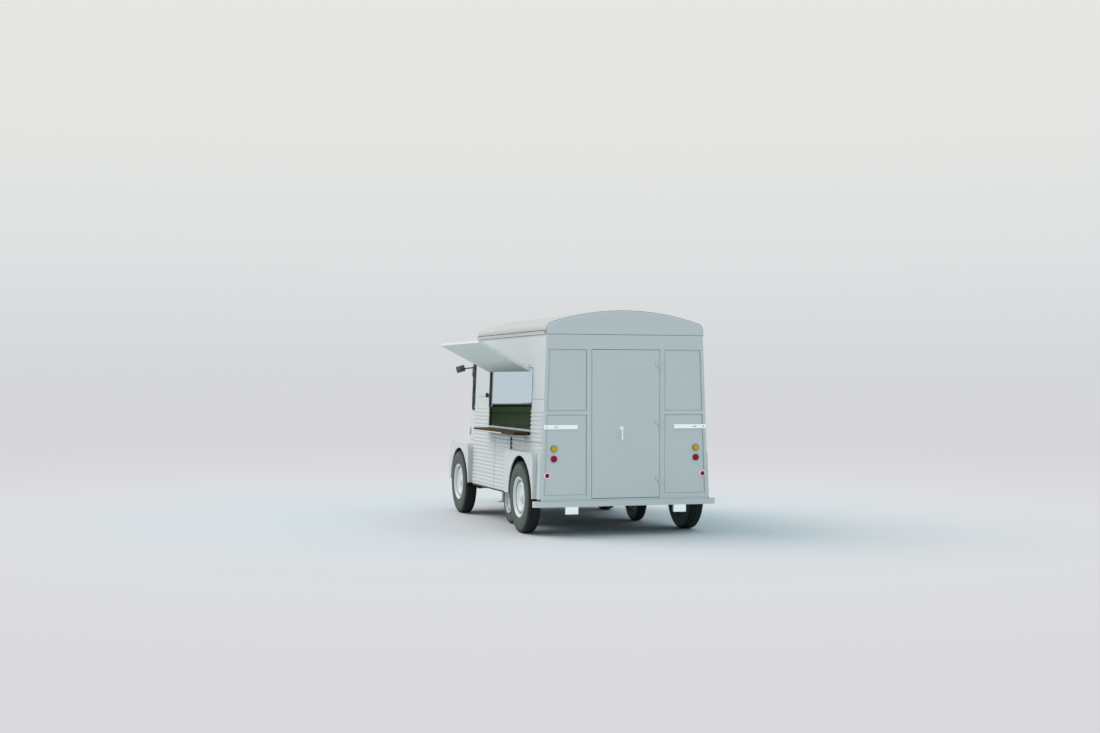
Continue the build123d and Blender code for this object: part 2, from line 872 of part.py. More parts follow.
# Pivot tubes, arms and hub drums that carry the wheels
with BuildPart() as axles:
    for _, side, x, y, radius, width, rim_r, pivot_y in wheels:
        arm_out = x - width / 2 - arm_clearance
        run = math.hypot(pivot_y - y, pivot_z - radius)
        turn = math.degrees(math.atan2(pivot_z - radius, pivot_y - y))
        with BuildSketch(Plane.YZ.offset(side * (arm_out - arm_thickness))):
            with Locations(((y + pivot_y) / 2, (radius + pivot_z) / 2)):
                SlotCenterToCenter(run, arm_height, rotation=turn)
        extrude(amount=side * arm_thickness)
        with BuildSketch(Plane.YZ.offset(side * arm_out)):
            with Locations((y, radius)):
                Circle(rim_r * drum_share)
        extrude(amount=side * (x + disc_face - arm_out))
        with BuildSketch(Plane.YZ):
            with Locations((pivot_y, pivot_z)):
                Circle(pivot_r)
        extrude(amount=side * (arm_out - arm_thickness / 2))
keep("axles", axles.part)

# Wheels: a tyre and a dished rim with a hub cap each. The tyre's section is
# given as shares of half its width and of its height above the rim.
tyre_section = ((bead_share, 0), (1, 0.45), (0.9, 0.87), (0.6, 1))
for name, side, x, y, radius, width, rim_r, _ in wheels:
    hub = Plane(origin=(side * x, y, radius), x_dir=(side, 0, 0), z_dir=(0, -side, 0))
    spin = Axis((side * x, y, radius), (1, 0, 0))
    half = width / 2
    seat = rim_r + seat_gap
    flank = [(half * u, seat + (radius - seat) * v) for u, v in tyre_section]
    with BuildPart() as tyre:
        with BuildSketch(hub):
            Polygon(*flank, *[(-u, v) for u, v in reversed(flank)], align=None)
        revolve(axis=spin)
    keep(f"tyre_{name}", tyre.part)
    bead = half * bead_share
    face = disc_face + seat_gap
    with BuildPart() as rim:
        with BuildSketch(hub):
            Polygon(
                (face, 0),
                (face, rim_r * 0.7),
                (face + 2 * rim_sheet, rim_r - rim_sheet),
                (-bead, rim_r - rim_sheet),
                (-bead, rim_r),
                (bead, rim_r),
                (bead, rim_r - rim_sheet),
                (face + 4 * rim_sheet, rim_r - 2 * rim_sheet),
                (face + 2 * rim_sheet, rim_r * 0.68),
                (face + 3 * rim_sheet, rim_r * 0.42),
                (face + 6 * rim_sheet, rim_r * 0.34),
                (face + 6 * rim_sheet, 0),
                align=None,
            )
        revolve(axis=spin)
    keep(f"rim_{name}", rim.part)

# Drawbar: two converging bars with a plate that holds the jack
with BuildPart() as drawbar:
    with BuildSketch(Plane.XY.offset(rail_low)):
        for side in (-1, 1):
            Polygon(
                (side * (chassis_rail_x - chassis_rail_width / 2), chassis_end),
                (side * (chassis_rail_x + chassis_rail_width / 2), chassis_end),
                (side * drawbar_tip_half, drawbar_tip),
                (0, drawbar_tip),
                (0, drawbar_tip - drawbar_throat),
                align=None,
            )
        bar_run = chassis_rail_x + chassis_rail_width / 2 - drawbar_tip_half
        bar_at_jack = drawbar_tip_half + bar_run * jack_plate_setback / drawbar_length
        with Locations((0, jack_y)):
            Rectangle(2 * bar_at_jack - chassis_rail_width, jack_plate_width)
            Circle(jack_r + seat_gap, mode=Mode.SUBTRACT)
    extrude(amount=chassis_rail_height)
keep("drawbar", drawbar.part)

with BuildPart() as tow_coupling:
    with BuildSketch(Plane.XY.offset(floor_low)):
        with Locations((0, coupling_front - (coupling_length + coupling_overlap) / 2)):
            SlotOverall(coupling_length + coupling_overlap, 2 * coupling_half, rotation=90)
    extrude(amount=coupling_height)
    with BuildSketch(Plane.XY.offset(floor_low)):
        with Locations((0, coupling_front - coupling_half)):
            Circle(ball_r)
    extrude(amount=coupling_height - 2 * panel, mode=Mode.SUBTRACT)
keep("tow_coupling", tow_coupling.part)

# Jack: a tube on a foot, with a crank on top
with BuildPart() as jack:
    with BuildSketch(Plane.XY):
        with Locations((0, jack_y)):
            Circle(jack_foot_r)
    extrude(amount=jack_foot_height)
    with BuildSketch(Plane.XY):
        with Locations((0, jack_y)):
            Circle(jack_r)
    extrude(amount=jack_top)
    with BuildSketch(Plane.XY.offset(jack_top)):
        with Locations((crank_length / 2, jack_y)):
            SlotCenterToCenter(crank_length, 3 * crank_r)
    extrude(amount=crank_r)
    with BuildSketch(Plane.XY.offset(jack_top)):
        with Locations((crank_length, jack_y)):
            Circle(crank_r)
    extrude(amount=crank_length / 2)
keep("jack", jack.part)

# Bumpers
with BuildPart() as rear_bumper:
    with BuildSketch(Plane.XY.offset(bumper_low)):
        with Locations((0, bumper_depth / 2 - bumper_back)):
            RectangleRounded(2 * (sill_half + bumper_overhang), bumper_depth, bumper_r)
    extrude(amount=bumper_height)
keep("rear_bumper", rear_bumper.part)

with BuildPart() as front_bumper:
    with BuildSketch(Plane.XY.offset(sill_z + front_bumper_rise)):
        with Locations((0, nose_front + front_bumper_depth / 2)):
            RectangleRounded(
                2 * (sill_half + front_bumper_overhang),
                front_bumper_depth,
                front_bumper_depth / 2 - 1,
            )
    extrude(amount=bumper_height)
keep("front_bumper", front_bumper.part)

# Cabinet and worktop across the cab, open towards the windscreen
cabinet_start = body_length + cabinet_setback
cabinet_end = cab_front - wall - seat_gap
cabinet_middle = (cabinet_start + cabinet_end) / 2
cabinet_half = cab_front_sizes[0] - wall - cabinet_clear
cabinet_top = sill_z + cabinet_rise
with BuildPart() as cabinet:
    with BuildSketch(Plane.XY.offset(sill_z)):
        with Locations((0, cabinet_middle)):
            Rectangle(2 * cabinet_half, cabinet_end - cabinet_start)
    extrude(amount=cabinet_rise)
    with BuildSketch(Plane.XY.offset(sill_z + cabinet_board)):
        with Locations((0, cabinet_middle + cabinet_board)):
            Rectangle(2 * (cabinet_half - cabinet_board), cabinet_end - cabinet_start)
    extrude(amount=cabinet_rise - 2 * cabinet_board, mode=Mode.SUBTRACT)
keep("cabinet", cabinet.part)

with BuildPart() as worktop:
    with BuildSketch(Plane.XY.offset(cabinet_top)):
        with Locations((0, cabinet_middle - worktop_lip / 2)):
            Rectangle(2 * (cabinet_half + worktop_lip), cabinet_end - cabinet_start + worktop_lip)
    extrude(amount=worktop_thickness)
keep("worktop", worktop.part)

# Lamps, bars and lamp boxes at the rear
for name, rows in (("amber_lamps", amber_rows), ("red_lamps", red_rows)):
    with BuildPart() as lamps:
        for inset, rise, radius in rows:
            lamp_x = wall_x(sill_z + rise) - inset
            with BuildSketch(Plane.XZ.offset(-frame_relief)):
                with Locations((-lamp_x, sill_z + rise), (lamp_x, sill_z + rise)):
                    Circle(radius)
            extrude(amount=frame_relief + lamp_stand)
    keep(name, lamps.part)

with BuildPart() as rear_bars:
    bar_z = sill_z + bar_rise
    bar_x = wall_x(bar_z) - bar_inset - bar_length / 2
    pad_x = bar_x - bar_pad_margin / 2
    with BuildSketch(Plane.XZ):
        with Locations((-bar_x, bar_z), (bar_x, bar_z)):
            Rectangle(bar_length, bar_height)
    extrude(amount=bar_stand)
    with BuildSketch(Plane.XZ):
        with Locations((-pad_x, bar_z), (pad_x, bar_z)):
            Rectangle(bar_length - 2 * bar_pad_margin, bar_height / 2)
    extrude(amount=-frame_relief)
keep("rear_bars", rear_bars.part)

with BuildPart() as lamp_boxes:
    box_z = bumper_low - lamp_box_height / 2
    with BuildSketch(Plane.XZ.offset(bumper_back - lamp_box_depth)):
        with Locations((-lamp_box_x, box_z), (lamp_box_x, box_z)):
            Rectangle(lamp_box_width, lamp_box_height)
    extrude(amount=lamp_box_depth)
keep("lamp_boxes", lamp_boxes.part)

# The shared frame's origin is on the ground under the middle of the outline.
hatch_rise = math.radians(hatch_open_angle - 90 + lean_angle)
hatch_tip_x = hatch_pin_x - (hatch_pin_z - hatch_low) * math.cos(hatch_rise)
origin_x = (head_x + mirror_width / 2 + hatch_tip_x) / 2
origin_y = (coupling_front - handle_stand) / 2
shift = Location((-origin_x, -origin_y, 0))
for name, part in pieces.items():
    placed = part.moved(shift)
    placed.label = name
    export_step(placed, f"parts/{name}.step")
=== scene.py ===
import json
import math

import bmesh
import bpy
from mathutils import Matrix, Vector

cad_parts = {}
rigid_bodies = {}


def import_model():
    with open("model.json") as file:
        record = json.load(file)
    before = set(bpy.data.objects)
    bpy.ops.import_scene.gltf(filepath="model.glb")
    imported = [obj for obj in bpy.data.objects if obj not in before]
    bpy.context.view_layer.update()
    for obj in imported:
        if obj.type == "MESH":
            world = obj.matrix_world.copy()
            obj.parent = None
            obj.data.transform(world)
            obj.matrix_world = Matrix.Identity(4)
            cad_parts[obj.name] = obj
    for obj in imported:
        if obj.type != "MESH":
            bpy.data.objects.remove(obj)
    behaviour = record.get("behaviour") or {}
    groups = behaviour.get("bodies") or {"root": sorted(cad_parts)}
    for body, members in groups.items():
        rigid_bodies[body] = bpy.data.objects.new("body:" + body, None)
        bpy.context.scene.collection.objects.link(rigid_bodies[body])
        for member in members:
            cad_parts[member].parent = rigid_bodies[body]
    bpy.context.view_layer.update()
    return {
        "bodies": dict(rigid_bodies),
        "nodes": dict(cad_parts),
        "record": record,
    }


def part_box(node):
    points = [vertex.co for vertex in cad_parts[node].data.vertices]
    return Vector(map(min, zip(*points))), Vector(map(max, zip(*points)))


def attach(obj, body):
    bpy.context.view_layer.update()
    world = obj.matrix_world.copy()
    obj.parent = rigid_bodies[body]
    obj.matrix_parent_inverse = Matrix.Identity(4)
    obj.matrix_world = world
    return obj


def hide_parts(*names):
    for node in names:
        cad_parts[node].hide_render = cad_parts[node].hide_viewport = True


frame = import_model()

# Places in metres: x runs right from the middle, y ahead from the rear face, z up from the ground
FLOOR_Z = 0.367
floor_low, floor_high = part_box("floor")
ORIGIN = Vector(((floor_low.x + floor_high.x) / 2, floor_low.y, floor_low.z - FLOOR_Z))
X, Y, Z = Vector((1, 0, 0)), Vector((0, 1, 0)), Vector((0, 0, 1))
SIDES = (-1, 1)
NAMED_SIDES = ((-1, "left"), (1, "right"))

# Body walls, which lean inwards, and their ribs
SILL_Z = 0.385
SILL_HALF = 0.911
WALL_HEIGHT, WALL_INWARD = 1.66, 0.062
WALL_LEAN = WALL_INWARD / WALL_HEIGHT
RIB_FIRST, RIB_PITCH, RIB_COUNT = 0.425, 0.042, 21
RIB_STAND, RIB_BASE, RIB_CREST = 0.007, 0.027, 0.013

# Distance of thin trim from what it lies on
PROUD = 0.0005

# Gutter along the roof's foot
GUTTER_LOW, GUTTER_HIGH = 2.045, 2.079
GUTTER_REAR, GUTTER_FRONT = 0.030, 2.674
GUTTER_FACE = 0.8545

# Serving opening and hatch
OPENING_REAR, OPENING_FRONT = 0.420, 2.050
OPENING_LOW, OPENING_HIGH = 1.055, 1.705
HATCH_PIN_X, HATCH_PIN_Z = -0.8717, 1.7025
HATCH_TURN = math.radians(115.5)

# Wheel centres under the arches
WHEEL_Z = 0.372
REAR_WHEEL_Y, FRONT_WHEEL_Y = 0.591, 3.150

# Rear door, with the place of the lines in the gap round it
DOOR_LOW, DOOR_HIGH = 0.3875, 1.8935
DOOR_GAP_X = 0.3683

# Rear panels: low and high edges, inner edge, frame beside the wall, width of the painted shade
# line round their edges
PANEL_ROWS = ((0.425, 1.235), (1.273, 1.896))
PANEL_INNER, PANEL_FRAME, PANEL_SHADE_LINE = 0.420, 0.038, 0.009

# Painted shadow line round the rear arch: its distance ahead of the rear face
ARCH_EDGE = 0.0115

# Rear lamps and reflectors
LAMP_X, LAMP_R = 0.767, 0.033
AMBER_Z, RED_Z = 0.892, 0.792
REFLECTOR_X, REFLECTOR_Z, REFLECTOR_R = 0.840, 0.625, 0.026

# Cab: half widths at the sill and lean of its wall, rear and front
CAB_REAR, CAB_FRONT = 2.690, 3.420
CAB_FOOT = (0.903, 0.765)
CAB_LEAN = (0.0376, 0.0350)
WINDOW_Y, WINDOW_Z, WINDOW_R = (2.795, 3.280), (1.225, 1.790), 0.040
SCREEN_HALF, SCREEN_Z, SCREEN_R = 0.625, (1.250, 1.805), 0.060

# Camera, placed in metres, with its turn in degrees and lens in picture pixels
CAMERA_PLACE = (-5.477, -14.842, 1.595)
CAMERA_YAW, CAMERA_ROLL = 17.452, 0.127
FOCAL_PIXELS, PICTURE_WIDTH, HORIZON_DROP = 1553.8, 1100, 12.4
SENSOR_WIDTH = 36


def at(x, y, z):
    """Point in the frame from its distances right, ahead and up."""
    return ORIGIN + Vector((x, y, z))


def mix(a, b, share):
    return a + (b - a) * share


def half_width(z):
    """Half the width over the body walls at a height."""
    return SILL_HALF - WALL_LEAN * (z - SILL_Z)


def wall(side, y, z, out=0.0):
    """Point on the body's side wall, standing out by a distance."""
    return at(side * (half_width(z) + out), y, z)


def cab_wall(side, y, z, out=0.0):
    """Point on the cab's side wall, standing out by a distance."""
    share = (y - CAB_REAR) / (CAB_FRONT - CAB_REAR)
    half = mix(*CAB_FOOT, share) - mix(*CAB_LEAN, share) * (z - SILL_Z)
    return at(side * (half + out), y, z)


def on_hatch(x, y, z):
    """Point of the open hatch from its place on the closed one."""
    dx, dz = x - HATCH_PIN_X, z - HATCH_PIN_Z
    turned_x = dx * math.cos(HATCH_TURN) + dz * math.sin(HATCH_TURN)
    turned_z = dz * math.cos(HATCH_TURN) - dx * math.sin(HATCH_TURN)
    return at(HATCH_PIN_X + turned_x, y, HATCH_PIN_Z + turned_z)


# Forms
LEAST_RADIUS = 0.0002
SMOOTH_LIMIT = math.radians(32)


def skin(bm, rings, closed=False):
    """Faces between neighbouring rings of vertices."""
    pairs = list(zip(rings, rings[1:]))
    if closed:
        pairs.append((rings[-1], rings[0]))
    for a, b in pairs:
        for i in range(len(a)):
            j = (i + 1) % len(a)
            bm.faces.new((a[i], a[j], b[j], b[i]))
    if not closed:
        bm.faces.new(rings[0])
        bm.faces.new(list(reversed(rings[-1])))


def prism(bm, rings):
    """Solid between rings of points."""
    skin(bm, [[bm.verts.new(point) for point in ring] for ring in rings])


def lathe(bm, centre, axis, profile, segments, depth=None, closed=False):
    """Turned form from (distance along the axis, radius) pairs.

    depth(pair index, segment index) sinks a point towards the axis.
    """
    axis = axis.normalized()
    u = axis.orthogonal().normalized()
    v = axis.cross(u)
    rings = []
    for row, (along, radius) in enumerate(profile):
        ring = []
        for i in range(segments):
            turn = 2 * math.pi * i / segments
            reach = max(radius, LEAST_RADIUS)
            if depth:
                reach -= depth(row, i)
            spoke = u * math.cos(turn) + v * math.sin(turn)
            ring.append(bm.verts.new(centre + axis * along + spoke * reach))
        rings.append(ring)
    skin(bm, rings, closed)


def tube(bm, points, radius, normal, closed=False, segments=8, flat=1.0):
    """Round bar along points. flat squeezes its section along the normal."""
    count = len(points)
    u = normal
    rings = []
    for i, point in enumerate(points):
        before = points[i - 1] if i or closed else point
        after = points[(i + 1) % count] if i < count - 1 or closed else point
        along = (after - before).normalized()
        u = (u - along * u.dot(along)).normalized()
        v = along.cross(u)
        ring = []
        for j in range(segments):
            turn = 2 * math.pi * j / segments
            offset = u * math.cos(turn) * flat + v * math.sin(turn)
            ring.append(bm.verts.new(point + offset * radius))
        rings.append(ring)
    skin(bm, rings, closed)


def band(bm, points, across, out):
    """Flat strip along points: across is its width and out its thickness."""
    rings = []
    for point in points:
        low, high = point - across / 2, point + across / 2
        rings.append((low, high, high + out, low + out))
    prism(bm, rings)


def wall_strip(bm, side, start, end, across, stand, lift):
    """Flat strip between two (y, z) places of a side wall."""
    ends = [wall(side, y, z, lift) for y, z in (start, end)]
    band(bm, ends, across, X * side * stand)


def block(bm, low, high, bevel):
    """Box between two corners with eased edges."""
    made = bmesh.ops.create_cube(bm, size=1)["verts"]
    centre, size = (low + high) / 2, high - low
    for vert in made:
        vert.co = centre + Vector(a * b for a, b in zip(vert.co, size))
    edges = list(dict.fromkeys(e for vert in made for e in vert.link_edges))
    bmesh.ops.bevel(bm, geom=edges, offset=bevel, segments=3, affect="EDGES", profile=0.5)


def bolt(bm, centre, axis, radius, height, segments=6):
    """Screw or bolt head with an eased rim."""
    shoulder, top = 0.75, 0.8
    profile = ((0, radius), (height * shoulder, radius), (height, radius * top))
    lathe(bm, centre, axis, profile, segments)


def rounded(low_u, high_u, low_v, high_v, radius, steps=6):
    """Corner-rounded rectangle as (u, v) pairs."""
    pairs = []
    corners = (
        (high_u - radius, high_v - radius, 0),
        (low_u + radius, high_v - radius, 90),
        (low_u + radius, low_v + radius, 180),
        (high_u - radius, low_v + radius, 270),
    )
    for u, v, start in corners:
        for i in range(steps + 1):
            turn = math.radians(start + 90 * i / steps)
            pairs.append((u + radius * math.cos(turn), v + radius * math.sin(turn)))
    return pairs


def piece(name, bm, slot, *nodes, body="trailer", material=None):
    """Finished mesh that rides on a body and may stand for CAD nodes."""
    bmesh.ops.recalc_face_normals(bm, faces=bm.faces)
    mesh = bpy.data.meshes.new(name)
    bm.to_mesh(mesh)
    bm.free()
    mesh.polygons.foreach_set("use_smooth", [True] * len(mesh.polygons))
    mesh.set_sharp_from_angle(angle=SMOOTH_LIMIT)
    made = bpy.data.objects.new(name, mesh)
    bpy.context.scene.collection.objects.link(made)
    made.data.materials.append(material or FINISHES[slot])
    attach(made, body)
    if nodes:
        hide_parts(*nodes)
    return made


# Materials
COAT_ROUGHNESS = 0.12
LEAST_ROUGHNESS, ROUGHNESS_SPREAD = 0.02, 0.06
NOISE_LOW, NOISE_HIGH = 0.3, 0.7
BUMP_DEPTH = 0.001
GLASS_INDEX = 1.45


def srgb(red, green, blue):
    """Linear colour from 8-bit display values."""
    linear = []
    for value in (red, green, blue):
        share = value / 255
        if share <= 0.04045:
            linear.append(share / 12.92)
        else:
            linear.append(((share + 0.055) / 1.055) ** 2.4)
    return linear


def shade(colour, share):
    return (*(min(1.0, channel * share) for channel in colour), 1)


def set_sockets(node, **values):
    """Numbers and colours on a node's sockets, with _ for each space."""
    for socket, value in values.items():
        node.inputs[socket.replace("_", " ")].default_value = value


def add_node(tree, kind, **values):
    """New shader node with values on its sockets."""
    made = tree.nodes.new(f"ShaderNode{kind}")
    set_sockets(made, **values)
    return made


def add_math(tree, operation, second=None):
    """New math node, with a fixed second number where it has one."""
    made = add_node(tree, "Math")
    made.operation = operation
    if second is not None:
        made.inputs[1].default_value = second
    return made


def add_mix(tree, **colours):
    """New node between the colours A and B."""
    made = tree.nodes.new("ShaderNodeMix")
    made.data_type = "RGBA"
    set_sockets(made, **colours)
    return made


def add_ramp(tree, stops):
    """New colour ramp from (place, linear colour) pairs."""
    made = add_node(tree, "ValToRGB")
    elements = made.color_ramp.elements
    while len(elements) < len(stops):
        elements.new(0.5)
    for element, (place, tone) in zip(elements, stops):
        element.position = place
        element.color = (*tone, 1)
    return made


def link(source, output, target, socket):
    source.id_data.links.new(source.outputs[output], target.inputs[socket])


def finish(
    name,
    colour,
    rough,
    metal=0.0,
    vary=0.05,
    scale=4.0,
    bump=0.15,
    grain=160.0,
    coat=0.0,
    edge=0.0,
    stretch=(1, 1, 1),
    glow=0.0,
    shine=0.5,
    light=None,
):
    """Surface with slow changes of colour, uneven gloss and a fine grain.

    The colour changes by the share vary, or towards the colour light.
    """
    made = bpy.data.materials.new(name)
    made.use_nodes = True
    tree = made.node_tree
    shader = tree.nodes["Principled BSDF"]
    set_sockets(
        shader,
        Metallic=metal,
        Coat_Weight=coat,
        Coat_Roughness=COAT_ROUGHNESS,
        Specular_IOR_Level=shine,
        Emission_Color=(1, 1, 1, 1),
        Emission_Strength=glow,
    )
    place = add_node(tree, "TexCoord")
    place.name = "place"
    mapping = add_node(tree, "Mapping", Scale=stretch)
    link(place, "Object", mapping, "Vector")

    slow = add_node(tree, "TexNoise", Scale=scale, Detail=5)
    slow.name = "slow"
    link(mapping, "Vector", slow, "Vector")
    pale = shade(light, 1) if light else shade(colour, 1 + vary)
    tint = add_mix(tree, A=shade(colour, 1 - vary), B=pale)
    tint.name = "tint"
    link(slow, "Fac", tint, "Factor")
    link(tint, "Result", shader, "Base Color")

    gloss = add_node(
        tree,
        "MapRange",
        From_Min=NOISE_LOW,
        From_Max=NOISE_HIGH,
        To_Min=max(LEAST_ROUGHNESS, rough - ROUGHNESS_SPREAD),
        To_Max=min(1.0, rough + ROUGHNESS_SPREAD),
    )
    link(slow, "Fac", gloss, "Value")
    link(gloss, "Result", shader, "Roughness")

    fine = add_node(tree, "TexNoise", Scale=grain, Detail=3)
    link(mapping, "Vector", fine, "Vector")
    relief = add_node(tree, "Bump", Strength=bump, Distance=BUMP_DEPTH)
    link(fine, "Fac", relief, "Height")
    if edge:
        soft = add_node(tree, "Bevel", Radius=edge)
        soft.samples = 4
        link(soft, "Normal", relief, "Normal")
    link(relief, "Normal", shader, "Normal")
    return made


def pane(name, colour, gloss=1.0):
    """Clear sheet: light goes straight through, with a mirror sheen."""
    made = finish(name, colour, 0.04, metal=0.6, vary=0.02, bump=0.02, grain=12)
    tree = made.node_tree
    through = add_node(tree, "BsdfTransparent", Color=shade(colour, 1))
    sheen = add_node(tree, "Fresnel", IOR=GLASS_INDEX)
    share = add_math(tree, "MULTIPLY", gloss)
    blend = add_node(tree, "MixShader")
    link(sheen, "Fac", share, 0)
    link(share, "Value", blend, "Fac")
    link(through, "BSDF", blend, 1)
    link(tree.nodes["Principled BSDF"], "BSDF", blend, 2)
    link(blend, "Shader", tree.nodes["Material Output"], "Surface")
    return made


PAINT = srgb(197, 202, 203)
PAINT_LOOK = {"vary": 0.025, "scale": 1.6, "bump": 0.1, "edge": 0.002}
FINISHES = {
    "body_paint": finish("cream_paint", PAINT, 0.38, coat=0.25, **PAINT_LOOK),
    "grille_metal": finish("grille_grey", srgb(150, 156, 158), 0.35, 0.7, edge=0.001),
    "headlamp": finish("lamp_chrome", srgb(205, 208, 210), 0.12, 1.0, bump=0.05),
    "floor_board": finish("floor_dark", srgb(60, 60, 56), 0.7, vary=0.15, scale=9),
    "chassis_steel": finish(
        "chassis_black", srgb(52, 56, 56), 0.55, 0.3, vary=0.2, scale=8, edge=0.002
    ),
    "coupling_steel": finish(
        "zinc_steel", srgb(150, 153, 152), 0.38, 0.85, vary=0.1, scale=18, edge=0.001
    ),
    "shelf_wood": finish(
        "shelf_boards", srgb(40, 31, 16), 0.6, vary=0.2, scale=9, bump=0.4,
        stretch=(6, 0.6, 6), shine=0.15, light=srgb(64, 51, 30),
    ),
    "cabinet_green": finish("cabinet_paint", srgb(84, 108, 78), 0.5, vary=0.1, scale=5, edge=0.002),
    "worktop_dark": finish("worktop_black", srgb(32, 44, 31), 0.35, vary=0.2, scale=30),
    "clear_glass": pane("window_glass", (0.88, 0.95, 0.97)),
    "amber_lens": finish("amber_plastic", srgb(208, 172, 0), 0.3, vary=0.1, scale=30, shine=0.2),
    "red_lens": finish("red_plastic", srgb(168, 4, 44), 0.3, vary=0.1, scale=30, shine=0.15),
    # White enamel with a small glow: painted light that brightens the white trim, though it is no
    # lamp.
    "white_trim": finish("white_enamel_painted_glow", (0.90, 0.92, 0.92), 0.3, vary=0.03, coat=0.3, glow=0.12),
    # Chrome with a small glow: painted light on the handle, though it is no lamp.
    "handle_chrome": finish("handle_chrome", srgb(244, 246, 244), 0.3, 0.3, bump=0.04, glow=0.08),
    "mirror_black": finish("mirror_shell", srgb(60, 66, 64), 0.45, vary=0.1, edge=0.001),
    "tyre_rubber": finish(
        "rubber", srgb(13, 24, 20), 0.78, vary=0.18, scale=14, bump=0.35, grain=420
    ),
    "rim_paint": finish("wheel_enamel", srgb(206, 212, 211), 0.34, coat=0.3, edge=0.001),
}
DOOR_PANE = pane("door_window_glass", (0.36, 0.42, 0.41), 0.35)
HATCH_PAINT = finish("hatch_paint", srgb(205, 218, 212), 0.45, **PAINT_LOOK)
# Roof: body paint made darker, a painted shade that tones down the light on the top.
ROOF_SHADED_PAINT = finish("roof_paint_shaded", srgb(183, 184, 184), 0.45, **PAINT_LOOK | {"vary": 0.03})
EDGE_TRIM = finish("hatch_edge_trim", srgb(206, 214, 212), 0.6, scale=12)
# Cream of the painted highlight along the shelf's lit outer edge.
SHELF_EDGE_HIGHLIGHT = finish("shelf_edge_highlight", srgb(206, 194, 172), 0.5, vary=0.06, scale=20)
# Near-black of the painted shade inside the wheel arches.
ARCH_SHADE_DARK = finish("arch_liner_shade", srgb(26, 32, 31), 0.9, vary=0.2, scale=30, shine=0.1)
SEAL = finish("black_seal", srgb(22, 24, 24), 0.6, vary=0.2, scale=30)
GROOVE = finish("joint_shadow", srgb(92, 100, 101), 0.7, vary=0.1, scale=12)
# Grey of the soft lines in the rear door's gaps, and of the painted shade along the sunk rear
# panels' edges.
SEALANT_AND_SHADE_GREY = finish("sealant_and_panel_shade", srgb(160, 166, 166), 0.6, vary=0.1, scale=12)
# Lighter rubber of the sidewalls: painted light for their sunlit look beside the dark tread.
SIDEWALL_LIT = finish("tyre_wall_painted_light", srgb(60, 75, 70), 0.6, vary=0.14, scale=12, grain=420)
# Grey of the painted shade in the wheel discs' recess ring.
RIM_RECESS_SHADE = finish("wheel_recess_shade", srgb(146, 155, 154), 0.45, vary=0.06, scale=10)
MIRROR_GLASS = finish("mirror_glass", srgb(96, 114, 111), 0.3, 0.5, bump=0.01)
RAIL_GREEN = finish("cabinet_rail", srgb(78, 108, 62), 0.5, vary=0.1)
FIXING = finish("screw_dark", srgb(70, 72, 70), 0.4, 0.6, vary=0.1, scale=60)


def paint_hatch():
    """Body paint outside; inside, a tint with a painted shade that deepens towards the hinge."""
    tree = HATCH_PAINT.node_tree
    place, tint, slow = (tree.nodes[name] for name in ("place", "tint", "slow"))
    hinge_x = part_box("hatch")[1].x
    hinge_shade_reach, deepest_hinge_shade, downwards = 0.24, 0.52, -0.5
    vary = PAINT_LOOK["vary"]
    spot, facing = (add_node(tree, "SeparateXYZ") for _ in range(2))
    link(place, "Object", spot, "Vector")
    link(place, "Normal", facing, "Vector")
    # Painted shade: on the inside faces the paint darkens over the last stretch before the hinge,
    # where the open hatch meets the wall.
    near = add_node(
        tree, "MapRange", From_Min=hinge_x - hinge_shade_reach, From_Max=hinge_x, To_Max=deepest_hinge_shade
    )
    link(spot, "X", near, "Value")
    inside = add_math(tree, "LESS_THAN", downwards)
    link(facing, "Z", inside, 0)
    share = add_math(tree, "MULTIPLY")
    link(near, "Result", share, 0)
    link(inside, "Value", share, 1)
    dark = add_mix(tree, B=(0, 0.01, 0.01, 1))
    link(share, "Value", dark, "Factor")
    link(tint, "Result", dark, "A")
    outside = add_mix(tree, A=shade(PAINT, 1 - vary), B=shade(PAINT, 1 + vary))
    link(slow, "Fac", outside, "Factor")
    face = add_mix(tree)
    link(inside, "Value", face, "Factor")
    link(outside, "Result", face, "A")
    link(dark, "Result", face, "B")
    link(face, "Result", tree.nodes["Principled BSDF"], "Base Color")


def dress_nodes():
    """The CAD nodes take the finishes of their slots, and some their own."""
    own = {
        "roof": ROOF_SHADED_PAINT,
        "hatch": HATCH_PAINT,
        "door_glass_left": DOOR_PANE,
        "door_glass_right": DOOR_PANE,
    }
    for row in frame["record"]["subparts"]:
        name = row["node"]
        for slot in frame["nodes"][name].material_slots:
            slot.material = own.get(name, FINISHES[row["material_slot"]])


# Wheels
TYRE_SEGMENTS, RIM_SEGMENTS, CAP_SEGMENTS = 144, 96, 64
TREAD_GROOVE, SHOULDER_CUT, CUT_PITCH = 0.007, 0.005, 4
SHOULDER_ROWS = range(9, 15)
SIDEWALL_SHARE = 0.80
DISH_DEPTH, RIM_SHEET = 0.032, 0.006
RECESS_INNER, RECESS_OUTER = 0.79, 0.90


def tyre_profile(half, radius, bead):
    """Section of a tyre from its half width, radius and bead radius."""
    height = radius - bead
    # Rows: share of the half width, share of the height above the bead
    wall_rows = (
        (0.62, 0.00),
        (0.78, 0.03),
        (0.92, 0.16),
        (0.985, 0.34),
        (1.00, 0.47),
        (0.99, 0.60),
        (0.965, 0.70),
        (0.955, 0.715),
        (0.945, 0.70),
        (0.90, 0.83),
        (0.86, 0.895),
        (0.80, 0.945),
        (0.72, 0.972),
        (0.64, 0.982),
    )
    right = [(share * half, bead + rise * height) for share, rise in wall_rows]
    # Rows: middle of a groove as a share of the half width, height of the tread
    for place, level in ((0.50, 0.987), (0.20, 0.998)):
        top = bead + level * height
        for offset, sunk in ((0.05, 0), (0.035, 1), (-0.035, 1), (-0.05, 0)):
            right.append((half * (place + offset), top - sunk * TREAD_GROOVE))
    left = [(-along, reach) for along, reach in reversed(right)]
    return right + left


